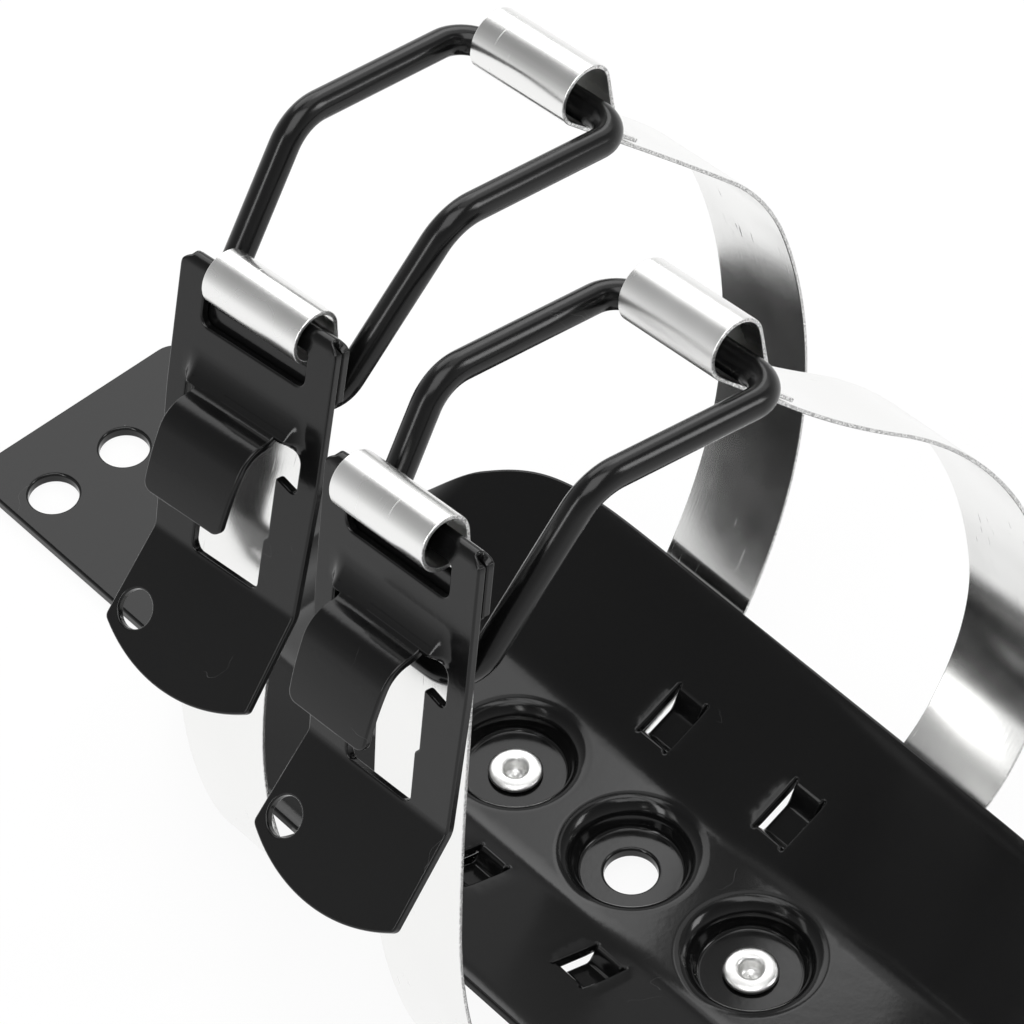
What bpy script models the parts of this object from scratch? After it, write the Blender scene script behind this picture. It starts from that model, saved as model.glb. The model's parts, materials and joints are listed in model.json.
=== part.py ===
"""Strap bracket for a fire extinguisher, in metres, +Z up.

A pressed steel back plate lies on the wall plane z = 0, its length along Y and its width along X.
Two sprung metal straps are riveted by their middles behind the plate and stand up around the
extinguisher. Each ends in two rolled eyes: one carries a latch lever, the other a wire bail.
"""
import math

import bmesh
import bpy
from mathutils import Matrix, Vector

# Back plate
PLATE_T = 0.003
PLATE_HALF_LENGTH = 0.1938
TONGUE_HALF_WIDTH = 0.0323
TONGUE_CORNER_R = 0.006
SADDLE_HALF_WIDTH = 0.0564
SADDLE_ARC_R = 0.0855
SADDLE_ARC_START_Y = 0.0807
SADDLE_ARC_END_Y = 0.1094
SADDLE_STEP_END_Y = 0.126
SADDLE_STEP_RUN = 0.028
SHOULDER_R = 0.009
BED_HALF_WIDTH = 0.0186
BED_TOP_Z = 0.013
WING_ANGLE = math.radians(22.2)
WING_BEND_RUN = 0.006
RIM_WIDTH = 0.0045
RIM_ANGLE = math.radians(8)

# Dimples and holes in the plate
DIMPLE_PITCH = 0.0375
DIMPLE_FLOOR_R = 0.011
DIMPLE_MOUTH_R = 0.0152
DIMPLE_MOUTH_FILLET = 0.0028
DIMPLE_FLOOR_TOP_Z = 0.006
CENTRE_HOLE_D = 0.012
WALL_HOLE_D = 0.012
WALL_HOLE_INSET = 0.0191
WALL_HOLE_PITCH = 0.0215

# Louvres pressed back through the wings
LOUVRE_X = 0.0298
LOUVRE_Y = 0.0184
LOUVRE_LENGTH = 0.0140
LOUVRE_WIDTH = 0.0088
LOUVRE_DEPTH = 0.0046
LOUVRE_RAMP = 0.0030
LOUVRE_SIDE_GAP = 0.0003

# Straps
STRAP_WIDTH = 0.025
STRAP_T = 0.0009
STRAP_SEAT_Z = 0.00225
LEVER_EYE_R = 0.0053
LEVER_EYE_ROLL = 300.0
BAIL_EYE_R = 0.00615
BAIL_EYE_ROLL = 217.0
TAIL_BEND_R = 0.003
TAIL_LENGTH = 0.0070
TURN_FULL_Z = 0.190

# Rivets
RIVET_HEAD_R = 0.0062
RIVET_HEAD_H = 0.0015
RIVET_SHANK_R = 0.0029
RIVET_BORE_R = 0.0023
RIVET_TAIL_R = 0.0046
RIVET_TAIL_H = 0.0012
CLEARANCE = 0.0003

# Levers, measured down from the hinge bar
LEVER_T = 0.002
LEVER_HALF_WIDTH = 0.0209
LEVER_BEND_HALF_WIDTH = 0.0194
LEVER_CORNER_R = 0.003
LEVER_WAIST_R = 0.08
LEVER_HIP_R = 0.02
HEM_HALF_HEIGHT = 0.0024
HEM_CHAMFER = 0.0008
HEM_INSET = 0.0002
SLOT_HALF_WIDTH = 0.0138
SLOT_BOTTOM = 0.0106
NOTCH_TOP = 0.0221
NOTCH_BOTTOM = 0.0337
NOTCH_HALF_WIDTH = 0.0156
HOOK_ROOT = 0.0227
HOOK_HALF_WIDTH = 0.0109
HOOK_SEGMENTS = ((0.0035, 75.0), (0.0022, 0.0), (0.0085, -60.0), (0.0086, -10.0))
WINDOW_HALF_WIDTH = 0.0100
WINDOW_STEP = 0.0467
WINDOW_LOW_HALF_WIDTH = 0.0089
WINDOW_BOTTOM = 0.0597
HANDLE_BEND_AT = 0.0600
HANDLE_BEND_R = 0.004
HANDLE_LENGTH = 0.0210
HANDLE_HALF_WIDTH = 0.0200
HANDLE_BULGE = 0.006
HANDLE_HOLE_R = 0.004
HANDLE_HOLE_SIDE = 0.0142
HANDLE_HOLE_DOWN = 0.0165

# Wire bails
WIRE_D = 0.006
BAIL_TOP_HALF = 0.0213
BAIL_MID_HALF = 0.0207
BAIL_LOW_HALF = 0.0163
BAIL_UPPER_LEG = 0.0464
BAIL_LOWER_LEG = 0.0438
BAIL_KNEE = math.radians(57)
BAIL_TOP_R = 0.007
BAIL_KNEE_R = 0.011
BAIL_LOW_R = 0.009

# Each side of a strap, from the rivet outwards, as (length, turn in degrees) of tangent arcs
UNDER_PLATE = ((0.012, 0.0), (0.008, 25.0), (0.038, 0.0))
STRAPS = {
    "1": {
        "y": DIMPLE_PITCH,
        "turn": math.radians(3.2),
        "tilt": math.radians(-2.2),
        "lean": -0.001,
        "right": ((0.0062, 34.5), (0.0662, 30.5), (0.0495, 19.0), (0.0326, 24.0), (0.0386, 1.0),
                  (0.0280, 0.0)),
        "left": ((0.0084, 24.0), (0.0303, 24.5), (0.0610, 22.5), (0.0470, 17.5), (0.0492, -22.0)),
        "lever_angle": math.radians(16.5),
        "lever_skew": math.radians(-2.0),
        "bar_in": -0.0010,
        "bar_down": -0.0003,
        "bar_side": 0.0003,
        "handle_bend": math.radians(30.5),
        "seat_back": 0.0036,
    },
    "2": {
        "y": -DIMPLE_PITCH,
        "turn": 0.0,
        "tilt": math.radians(-6.3),
        "lean": 0.0052,
        "right": ((0.0182, 30.5), (0.0402, 41.5), (0.0518, 20.5), (0.0566, 21.5), (0.0392, -6.5),
                  (0.0280, 0.0)),
        "left": ((0.0225, 26.5), (0.0302, 24.0), (0.0527, 18.0), (0.0464, 3.0), (0.0582, -3.5)),
        "lever_angle": math.radians(13),
        "lever_skew": 0.0,
        "bar_in": 0.0015,
        "bar_down": 0.0005,
        "bar_side": -0.0009,
        "handle_bend": math.radians(35),
        "seat_back": 0.0055,
    },
}

BLACK = ("black powder coat", (0.012, 0.012, 0.013, 1.0), 0.22, 0.0)
PLATED = ("plated strap", (0.78, 0.78, 0.77, 1.0), 0.22, 1.0)
RIVET_METAL = ("rivet metal", (0.72, 0.72, 0.71, 1.0), 0.30, 1.0)


def clear_scene():
    for item in list(bpy.data.objects):
        bpy.data.objects.remove(item, do_unlink=True)


def material(spec):
    name, colour, roughness, metallic = spec
    found = bpy.data.materials.get(name)
    if found:
        return found
    made = bpy.data.materials.new(name)
    made.use_nodes = True
    shader = made.node_tree.nodes["Principled BSDF"]
    shader.inputs["Base Color"].default_value = colour
    shader.inputs["Roughness"].default_value = roughness
    shader.inputs["Metallic"].default_value = metallic
    return made


def add_object(name, bm, spec=None):
    """Turn a bmesh into a linked object with outward faces."""
    bmesh.ops.remove_doubles(bm, verts=bm.verts, dist=1e-7)
    bmesh.ops.recalc_face_normals(bm, faces=bm.faces)
    mesh = bpy.data.meshes.new(name)
    bm.to_mesh(mesh)
    bm.free()
    item = bpy.data.objects.new(name, mesh)
    bpy.context.collection.objects.link(item)
    if spec:
        mesh.materials.append(material(spec))
        mesh.shade_smooth()
        mesh.set_sharp_from_angle(angle=math.radians(35))
    return item


def boolean(target, cutter, operation):
    cutter.hide_render = True
    cutter.display_type = "WIRE"
    step = target.modifiers.new(operation.title(), "BOOLEAN")
    step.operation = operation
    step.solver = "EXACT"
    step.object = cutter


def lathe(bm, profile, centre, steps):
    """Close a turned solid from (radius, z) points; one that starts on the axis gets flat ends."""
    solid = profile[0][0] < 1e-6
    rings = []
    for radius, z in profile:
        if radius < 1e-6:
            continue
        ring = []
        for i in range(steps):
            angle = 2 * math.pi * i / steps
            ring.append(bm.verts.new((centre[0] + radius * math.cos(angle),
                                      centre[1] + radius * math.sin(angle), centre[2] + z)))
        rings.append(ring)
    pairs = list(zip(rings, rings[1:]))
    if solid:
        bm.faces.new(rings[0])
        bm.faces.new(rings[-1])
    else:
        pairs.append((rings[-1], rings[0]))
    for lower, upper in pairs:
        for i in range(steps):
            j = (i + 1) % steps
            bm.faces.new((lower[i], lower[j], upper[j], upper[i]))


def box(bm, lo, hi):
    made = bmesh.ops.create_cube(bm, size=1.0)["verts"]
    size = Vector(hi) - Vector(lo)
    middle = (Vector(hi) + Vector(lo)) / 2
    bmesh.ops.scale(bm, vec=size, verts=made)
    bmesh.ops.translate(bm, vec=middle, verts=made)
    return made


def prism(bm, outline, axis, lo, hi):
    """Extrude a closed 2D outline along X, Y or Z from lo to hi."""
    order = {"X": (2, 0, 1), "Y": (0, 2, 1), "Z": (0, 1, 2)}[axis]

    def place(*point):
        return [point[i] for i in order]

    low = [bm.verts.new(place(a, b, lo)) for a, b in outline]
    high = [bm.verts.new(place(a, b, hi)) for a, b in outline]
    bm.faces.new(low)
    bm.faces.new(list(reversed(high)))
    for i in range(len(outline)):
        j = (i + 1) % len(outline)
        bm.faces.new((low[i], high[i], high[j], low[j]))


def walk(start, heading, segments, step=math.radians(8), longest=0.012):
    """Follow tangent arcs given as (length, turn in degrees); return points and headings."""
    point = Vector(start)
    points = [point.copy()]
    headings = [heading]
    for length, turn_degrees in segments:
        turn = math.radians(turn_degrees)
        pieces = max(1, math.ceil(abs(turn) / step), math.ceil(length / longest) if turn else 1)
        for _ in range(pieces):
            heading += turn / pieces / 2
            point = point + Vector((math.cos(heading), math.sin(heading))) * (length / pieces)
            heading += turn / pieces / 2
            points.append(point.copy())
            headings.append(heading)
    return points, headings


def smooth_min(a, b, radius):
    """The smaller of two lengths, rounded over where they meet."""
    h = max(radius - abs(a - b), 0.0) / radius
    return min(a, b) - h * h * radius / 4


def saddle_step(y):
    """1 over the raised saddle, 0 on the flat tongues, with a soft ramp between."""
    t = (SADDLE_STEP_END_Y - abs(y)) / SADDLE_STEP_RUN
    t = min(1.0, max(0.0, t))
    return t * t * (3 - 2 * t)


def saddle_arc_centre():
    """Centre of the arc that takes the saddle's side in to the tongue's."""
    start = Vector((SADDLE_HALF_WIDTH, SADDLE_ARC_START_Y))
    end = Vector((TONGUE_HALF_WIDTH, SADDLE_ARC_END_Y))
    chord = end - start
    inward = Vector((-chord.y, chord.x)).normalized()
    return (start + end) / 2 + inward * math.sqrt(SADDLE_ARC_R ** 2 - chord.length_squared / 4)


def plate_half_width(y):
    reach = abs(y)
    centre = saddle_arc_centre()
    under = SADDLE_ARC_R ** 2 - (reach - centre.y) ** 2
    arc = centre.x + math.sqrt(under) if under > 0 else -SADDLE_ARC_R
    if reach < centre.y:
        arc = centre.x + SADDLE_ARC_R
    saddle = smooth_min(SADDLE_HALF_WIDTH, arc, SHOULDER_R)
    width = -smooth_min(-TONGUE_HALF_WIDTH, -saddle, SHOULDER_R)
    into_corner = reach - (PLATE_HALF_LENGTH - TONGUE_CORNER_R)
    if into_corner > 0:
        width = TONGUE_HALF_WIDTH - TONGUE_CORNER_R
        width += math.sqrt(max(0.0, TONGUE_CORNER_R ** 2 - into_corner ** 2))
    return width


def trough(x):
    """Top of the saddle and its slope: a flat bed, a soft bend, a straight wing and a flatter rim."""
    reach = abs(x)
    bend_from = BED_HALF_WIDTH - WING_BEND_RUN / 2
    slope = math.tan(WING_ANGLE)
    if reach <= bend_from:
        return BED_TOP_Z, 0.0
    if reach <= bend_from + WING_BEND_RUN:
        part = (reach - bend_from) / WING_BEND_RUN
        return BED_TOP_Z + slope * WING_BEND_RUN * part * part / 2, slope * part
    height = BED_TOP_Z + slope * (reach - BED_HALF_WIDTH)
    rim_from = SADDLE_HALF_WIDTH - RIM_WIDTH
    if reach > rim_from:
        part = (reach - rim_from) / RIM_WIDTH
        fall = slope - math.tan(RIM_ANGLE)
        return height - fall * RIM_WIDTH * part * part / 2, slope - fall * part
    return height, slope


def plate_stations():
    """Rows across the plate, close together where its outline or its height changes."""
    rows = [0.0205, 0.060]
    rows += [0.070 + 0.0035 * i for i in range(17)]
    rows += [0.145, 0.165, PLATE_HALF_LENGTH - TONGUE_CORNER_R]
    for i in range(1, 6):
        angle = math.radians(90 * i / 5)
        rows.append(PLATE_HALF_LENGTH - TONGUE_CORNER_R * (1 - math.sin(angle)))
    return [-y for y in reversed(rows)] + rows


def make_plate_body():
    bend_from = BED_HALF_WIDTH - WING_BEND_RUN / 2
    marks = [0.0, bend_from, bend_from + WING_BEND_RUN / 2, bend_from + WING_BEND_RUN, 0.040]
    marks += [SADDLE_HALF_WIDTH - RIM_WIDTH, SADDLE_HALF_WIDTH - RIM_WIDTH / 2, SADDLE_HALF_WIDTH]
    shares = [mark / SADDLE_HALF_WIDTH for mark in marks]
    across = [-share for share in reversed(shares[1:])] + shares
    bm = bmesh.new()
    loops = []
    for y in plate_stations():
        half = plate_half_width(y)
        rise = saddle_step(y)
        top = []
        bottom = []
        for share in across:
            # Over the saddle the columns keep their places, so the bends stay straight
            x = math.copysign(min(abs(share) * SADDLE_HALF_WIDTH, half), share)
            if abs(share) > 0.99:
                x = math.copysign(half, share)
            elif abs(share) * SADDLE_HALF_WIDTH > half * 0.9:
                spare = (abs(share) * SADDLE_HALF_WIDTH - half * 0.9) / (SADDLE_HALF_WIDTH - half * 0.9)
                x = math.copysign(half * (0.9 + 0.1 * spare), share)
            height, slope = trough(x)
            z = PLATE_T + rise * (height - PLATE_T)
            drop = PLATE_T * math.sqrt(1 + (rise * slope) ** 2)
            top.append(bm.verts.new((x, y, z)))
            bottom.append(bm.verts.new((x, y, z - drop)))
        loops.append(top + list(reversed(bottom)))
    for near, far in zip(loops, loops[1:]):
        for i in range(len(near)):
            j = (i + 1) % len(near)
            bm.faces.new((near[i], near[j], far[j], far[i]))
    for end in (loops[0], loops[-1]):
        columns = len(across)
        for i in range(columns - 1):
            bm.faces.new((end[i], end[i + 1], end[-2 - i], end[-1 - i]))
    return add_object("back_plate", bm, BLACK)


def dimple_profiles():
    """Outer body and inner hollow of one pressed dimple, as (radius, z) points."""
    floor = DIMPLE_FLOOR_TOP_Z
    fillet = DIMPLE_MOUTH_FILLET
    slope_top_r = DIMPLE_MOUTH_R
    inner = [(0.0, floor), (DIMPLE_FLOOR_R, floor), (DIMPLE_FLOOR_R + 0.0014, floor + 0.0007),
             (slope_top_r - 0.0010, BED_TOP_Z - fillet)]
    for i in range(1, 6):
        angle = math.radians(75 * i / 5)
        inner.append((slope_top_r - 0.0010 + fillet * 1.2 * (1 - math.cos(angle)),
                      BED_TOP_Z - fillet + fillet * math.sin(angle)))
    inner.append((inner[-1][0] + 0.0012, BED_TOP_Z + 0.0006))
    inner.append((0.0, BED_TOP_Z + 0.0006))
    wall = PLATE_T * 0.9
    outer = [(0.0, floor - PLATE_T), (DIMPLE_FLOOR_R - 0.0010 + wall * 0.35, floor - PLATE_T),
             (DIMPLE_FLOOR_R + wall * 0.75, floor - PLATE_T + 0.0011),
             (slope_top_r + wall * 0.55, BED_TOP_Z - PLATE_T - 0.0012),
             (slope_top_r + wall * 1.15, BED_TOP_Z - PLATE_T + 0.0006), (0.0, BED_TOP_Z - PLATE_T + 0.0006)]
    return inner, outer


def make_back_plate():
    plate = make_plate_body()
    inner, outer = dimple_profiles()
    cups = bmesh.new()
    for side in (-1, 0, 1):
        lathe(cups, outer, (0.0, side * DIMPLE_PITCH, 0.0), 40)
    boolean(plate, add_object("dimple_cups", cups), "UNION")
    cuts = bmesh.new()
    for side in (-1, 0, 1):
        lathe(cuts, inner, (0.0, side * DIMPLE_PITCH, 0.0), 40)
    boolean(plate, add_object("dimple_hollows", cuts), "DIFFERENCE")
    holes = bmesh.new()
    below = -0.002
    above = DIMPLE_FLOOR_TOP_Z + 0.001
    for side in (-1, 1):
        radius = RIVET_SHANK_R + CLEARANCE
        drill = [(0, below), (radius, below), (radius, above), (0, above)]
        lathe(holes, drill, (0, side * DIMPLE_PITCH, 0), 24)
        for column in (-1, 0, 1):
            centre = (column * WALL_HOLE_PITCH, side * (PLATE_HALF_LENGTH - WALL_HOLE_INSET), 0)
            radius = WALL_HOLE_D / 2
            lathe(holes, [(0, below), (radius, below), (radius, above), (0, above)], centre, 32)
    radius = CENTRE_HOLE_D / 2
    lathe(holes, [(0, below), (radius, below), (radius, above), (0, above)], (0, 0, 0), 32)
    boolean(plate, add_object("plate_holes", holes), "DIFFERENCE")
    windows = bmesh.new()
    bridges = bmesh.new()
    for side_x in (-1, 1):
        for side_y in (-1, 1):
            tilt = Matrix.Rotation(-side_x * WING_ANGLE, 4, "Y")
            height, _ = trough(LOUVRE_X)
            place = Matrix.Translation((side_x * LOUVRE_X, side_y * LOUVRE_Y, height)) @ tilt
            cut = bmesh.new()
            half = LOUVRE_LENGTH / 2
            box(cut, (-half, -LOUVRE_WIDTH / 2, -PLATE_T - 0.001), (half, LOUVRE_WIDTH / 2, 0.001))
            merge_into(windows, cut, place)
            strip = bmesh.new()
            over = 0.0012
            inner_end = half - LOUVRE_RAMP
            deep = LOUVRE_DEPTH
            outline = [(-half - over, -0.0006), (-half, -0.0006), (-inner_end, -deep), (inner_end, -deep),
                       (half, -0.0006), (half + over, -0.0006), (half + over, -PLATE_T + 0.0004),
                       (half + 0.0002, -PLATE_T + 0.0004), (inner_end + 0.0003, -deep - PLATE_T + 0.0006),
                       (-inner_end - 0.0003, -deep - PLATE_T + 0.0006), (-half - 0.0002, -PLATE_T + 0.0004),
                       (-half - over, -PLATE_T + 0.0004)]
            edge = LOUVRE_WIDTH / 2 - LOUVRE_SIDE_GAP
            prism(strip, outline, "Y", -edge, edge)
            merge_into(bridges, strip, place)
    boolean(plate, add_object("louvre_windows", windows), "DIFFERENCE")
    boolean(plate, add_object("louvre_bridges", bridges), "UNION")
    return plate


def merge_into(target, source, matrix):
    """Add a placed copy of one bmesh to another and free it."""
    source.transform(matrix)
    copy = bpy.data.meshes.new("piece")
    source.to_mesh(copy)
    source.free()
    target.from_mesh(copy)
    bpy.data.meshes.remove(copy)


def side_path(segments):
    """Centreline of one side of a strap up to where its eye starts to roll, as (out, up)."""
    return walk((0.0, STRAP_SEAT_Z), 0.0, UNDER_PLATE + segments)


def eye_frame(segments):
    """Where a side meets its eye: the tangent point, the unit heading and the outward normal."""
    points, headings = side_path(segments)
    heading = Vector((math.cos(headings[-1]), math.sin(headings[-1])))
    outward = Vector((heading.y, -heading.x))
    return points[-1], heading, outward


def placed(strap, out, across, up):
    """Take strap coordinates to the world: the strap twists and leans as it rises, then runs true."""
    share = min(1.0, max(0.0, up / TURN_FULL_Z))
    over = max(0.0, up - TURN_FULL_Z)
    turned = Matrix.Rotation(strap["turn"] * share, 3, "Z") @ Matrix.Rotation(strap["tilt"] * share, 3, "X")
    base = Vector((0.0, strap["y"] + strap["lean"] * share, up - over))
    return base + turned @ Vector((out, across, over))


def eye_roll(radius, degrees):
    return (math.radians(degrees) * radius, -degrees)


def bail_eye():
    """The upper eye rolls back, drops straight onto the strap and ends in a tail that lies along it."""
    over = math.radians(BAIL_EYE_ROLL - 180.0)
    drop = BAIL_EYE_R * (1 + math.cos(over)) - STRAP_T - CLEARANCE - TAIL_BEND_R * (1 - math.cos(over))
    return (eye_roll(BAIL_EYE_R, BAIL_EYE_ROLL), (drop / math.sin(over), 0.0),
            (TAIL_BEND_R * over, math.degrees(over)), (TAIL_LENGTH, 0.0))


def make_strap(number, strap):
    right, right_heading = walk((0.0, STRAP_SEAT_Z), 0.0, UNDER_PLATE + strap["right"] + bail_eye())
    lever_eye = (eye_roll(LEVER_EYE_R, LEVER_EYE_ROLL),)
    left, left_heading = walk((0.0, STRAP_SEAT_Z), 0.0, UNDER_PLATE + strap["left"] + lever_eye)
    points = [Vector((-p.x, p.y)) for p in reversed(left[1:])] + right
    headings = [math.pi - h + math.pi for h in reversed(left_heading[1:])] + right_heading
    bm = bmesh.new()
    half = STRAP_WIDTH / 2
    rows = []
    for point, heading in zip(points, headings):
        normal = Vector((-math.sin(heading), math.cos(heading))) * (STRAP_T / 2)
        inner = point + normal
        outer = point - normal
        rows.append([bm.verts.new(placed(strap, inner.x, -half, inner.y)),
                     bm.verts.new(placed(strap, inner.x, half, inner.y)),
                     bm.verts.new(placed(strap, outer.x, half, outer.y)),
                     bm.verts.new(placed(strap, outer.x, -half, outer.y))])
    for near, far in zip(rows, rows[1:]):
        for i in range(4):
            j = (i + 1) % 4
            bm.faces.new((near[i], near[j], far[j], far[i]))
    bm.faces.new(rows[0])
    bm.faces.new(rows[-1])
    item = add_object(f"strap_{number}", bm, PLATED)
    hole = bmesh.new()
    radius = RIVET_SHANK_R + CLEARANCE
    lathe(hole, [(0, -0.002), (radius, -0.002), (radius, 0.006), (0, 0.006)], (0, strap["y"], 0), 24)
    boolean(item, add_object(f"strap_hole_{number}", hole), "DIFFERENCE")
    return item


def make_rivet(number, strap):
    head_base = DIMPLE_FLOOR_TOP_Z + CLEARANCE
    tail_top = STRAP_SEAT_Z - STRAP_T / 2 - CLEARANCE
    tail_base = tail_top - RIVET_TAIL_H
    crown = head_base + RIVET_HEAD_H
    profile = [(RIVET_BORE_R, tail_base), (RIVET_TAIL_R - 0.0008, tail_base),
               (RIVET_TAIL_R, tail_top - 0.0004),
               (RIVET_TAIL_R - 0.0003, tail_top), (RIVET_SHANK_R, tail_top), (RIVET_SHANK_R, head_base),
               (RIVET_HEAD_R, head_base), (RIVET_HEAD_R, head_base + 0.0004)]
    for i in range(1, 4):
        angle = math.radians(90 * i / 3)
        profile.append((RIVET_HEAD_R - 0.0022 * (1 - math.cos(angle)),
                        head_base + 0.0004 + (crown - head_base - 0.0004) * math.sin(angle)))
    profile += [(RIVET_BORE_R + 0.0009, crown - 0.0001), (RIVET_BORE_R + 0.0002, crown - 0.0006),
                (RIVET_BORE_R, crown - 0.0014)]
    bm = bmesh.new()
    lathe(bm, profile, (0.0, 0.0, 0.0), 32)
    item = add_object(f"rivet_{number}", bm, RIVET_METAL)
    item.location = (0.0, strap["y"], 0.0)
    return item


def rounded(corners, radii, steps=4):
    """Round the corners of a closed 2D outline."""
    out = []
    count = len(corners)
    for i in range(count):
        point = Vector(corners[i])
        before = (Vector(corners[i - 1]) - point).normalized()
        after = (Vector(corners[(i + 1) % count]) - point).normalized()
        radius = radii[i]
        if radius <= 0:
            out.append(tuple(point))
            continue
        half = before.angle(after) / 2
        reach = radius / math.tan(half)
        centre = point + (before + after).normalized() * (radius / math.sin(half))
        first = point + before * reach - centre
        last = point + after * reach - centre
        sweep = first.angle_signed(last)
        for k in range(steps + 1):
            turned = first.copy()
            turned.rotate(Matrix.Rotation(-sweep * k / steps, 2))
            out.append(tuple(centre + turned))
    return out


def lever_blank():
    """Outline of the lever as seen from the front, as (across, up) with the hinge bar at 0."""
    chord = HANDLE_HALF_WIDTH
    corner_z = -HANDLE_BEND_AT - HANDLE_LENGTH
    arc_r = (chord ** 2 + HANDLE_BULGE ** 2) / (2 * HANDLE_BULGE)
    centre_z = corner_z - HANDLE_BULGE + arc_r
    open_angle = math.asin(chord / arc_r)
    top = HEM_HALF_HEIGHT
    wide_at = -0.5 * (NOTCH_TOP + NOTCH_BOTTOM)
    corners = [(LEVER_HALF_WIDTH, top), (-LEVER_HALF_WIDTH, top), (-LEVER_HALF_WIDTH, wide_at),
               (-LEVER_BEND_HALF_WIDTH, -HANDLE_BEND_AT)]
    radii = [LEVER_CORNER_R, LEVER_CORNER_R, LEVER_WAIST_R, LEVER_HIP_R]
    left = rounded(corners + [(-chord, corner_z), (chord, corner_z), (LEVER_BEND_HALF_WIDTH, -HANDLE_BEND_AT),
                              (LEVER_HALF_WIDTH, wide_at)], radii + [0, 0, LEVER_HIP_R, LEVER_WAIST_R])
    split = [i for i, p in enumerate(left) if abs(p[1] - corner_z) < 1e-6]
    arc = []
    for i in range(1, 12):
        angle = -open_angle + 2 * open_angle * i / 12
        arc.append((arc_r * math.sin(angle), centre_z - arc_r * math.cos(angle)))
    return left[:split[0] + 1] + arc + left[split[1]:]


def bend_handle(bm, bend):
    """Fold the part below the bend line outwards, which is towards -X."""
    start = -HANDLE_BEND_AT + HANDLE_BEND_R * bend / 2
    pivot_x = -LEVER_T / 2 - HANDLE_BEND_R
    for vert in bm.verts:
        depth = start - vert.co.z
        if depth <= 0:
            continue
        angle = min(depth / HANDLE_BEND_R, bend)
        rest = depth - angle * HANDLE_BEND_R
        radius = vert.co.x - pivot_x
        x = pivot_x + radius * math.cos(angle) - rest * math.sin(angle)
        z = start - radius * math.sin(angle) - rest * math.cos(angle)
        vert.co.x = x
        vert.co.z = z


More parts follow.
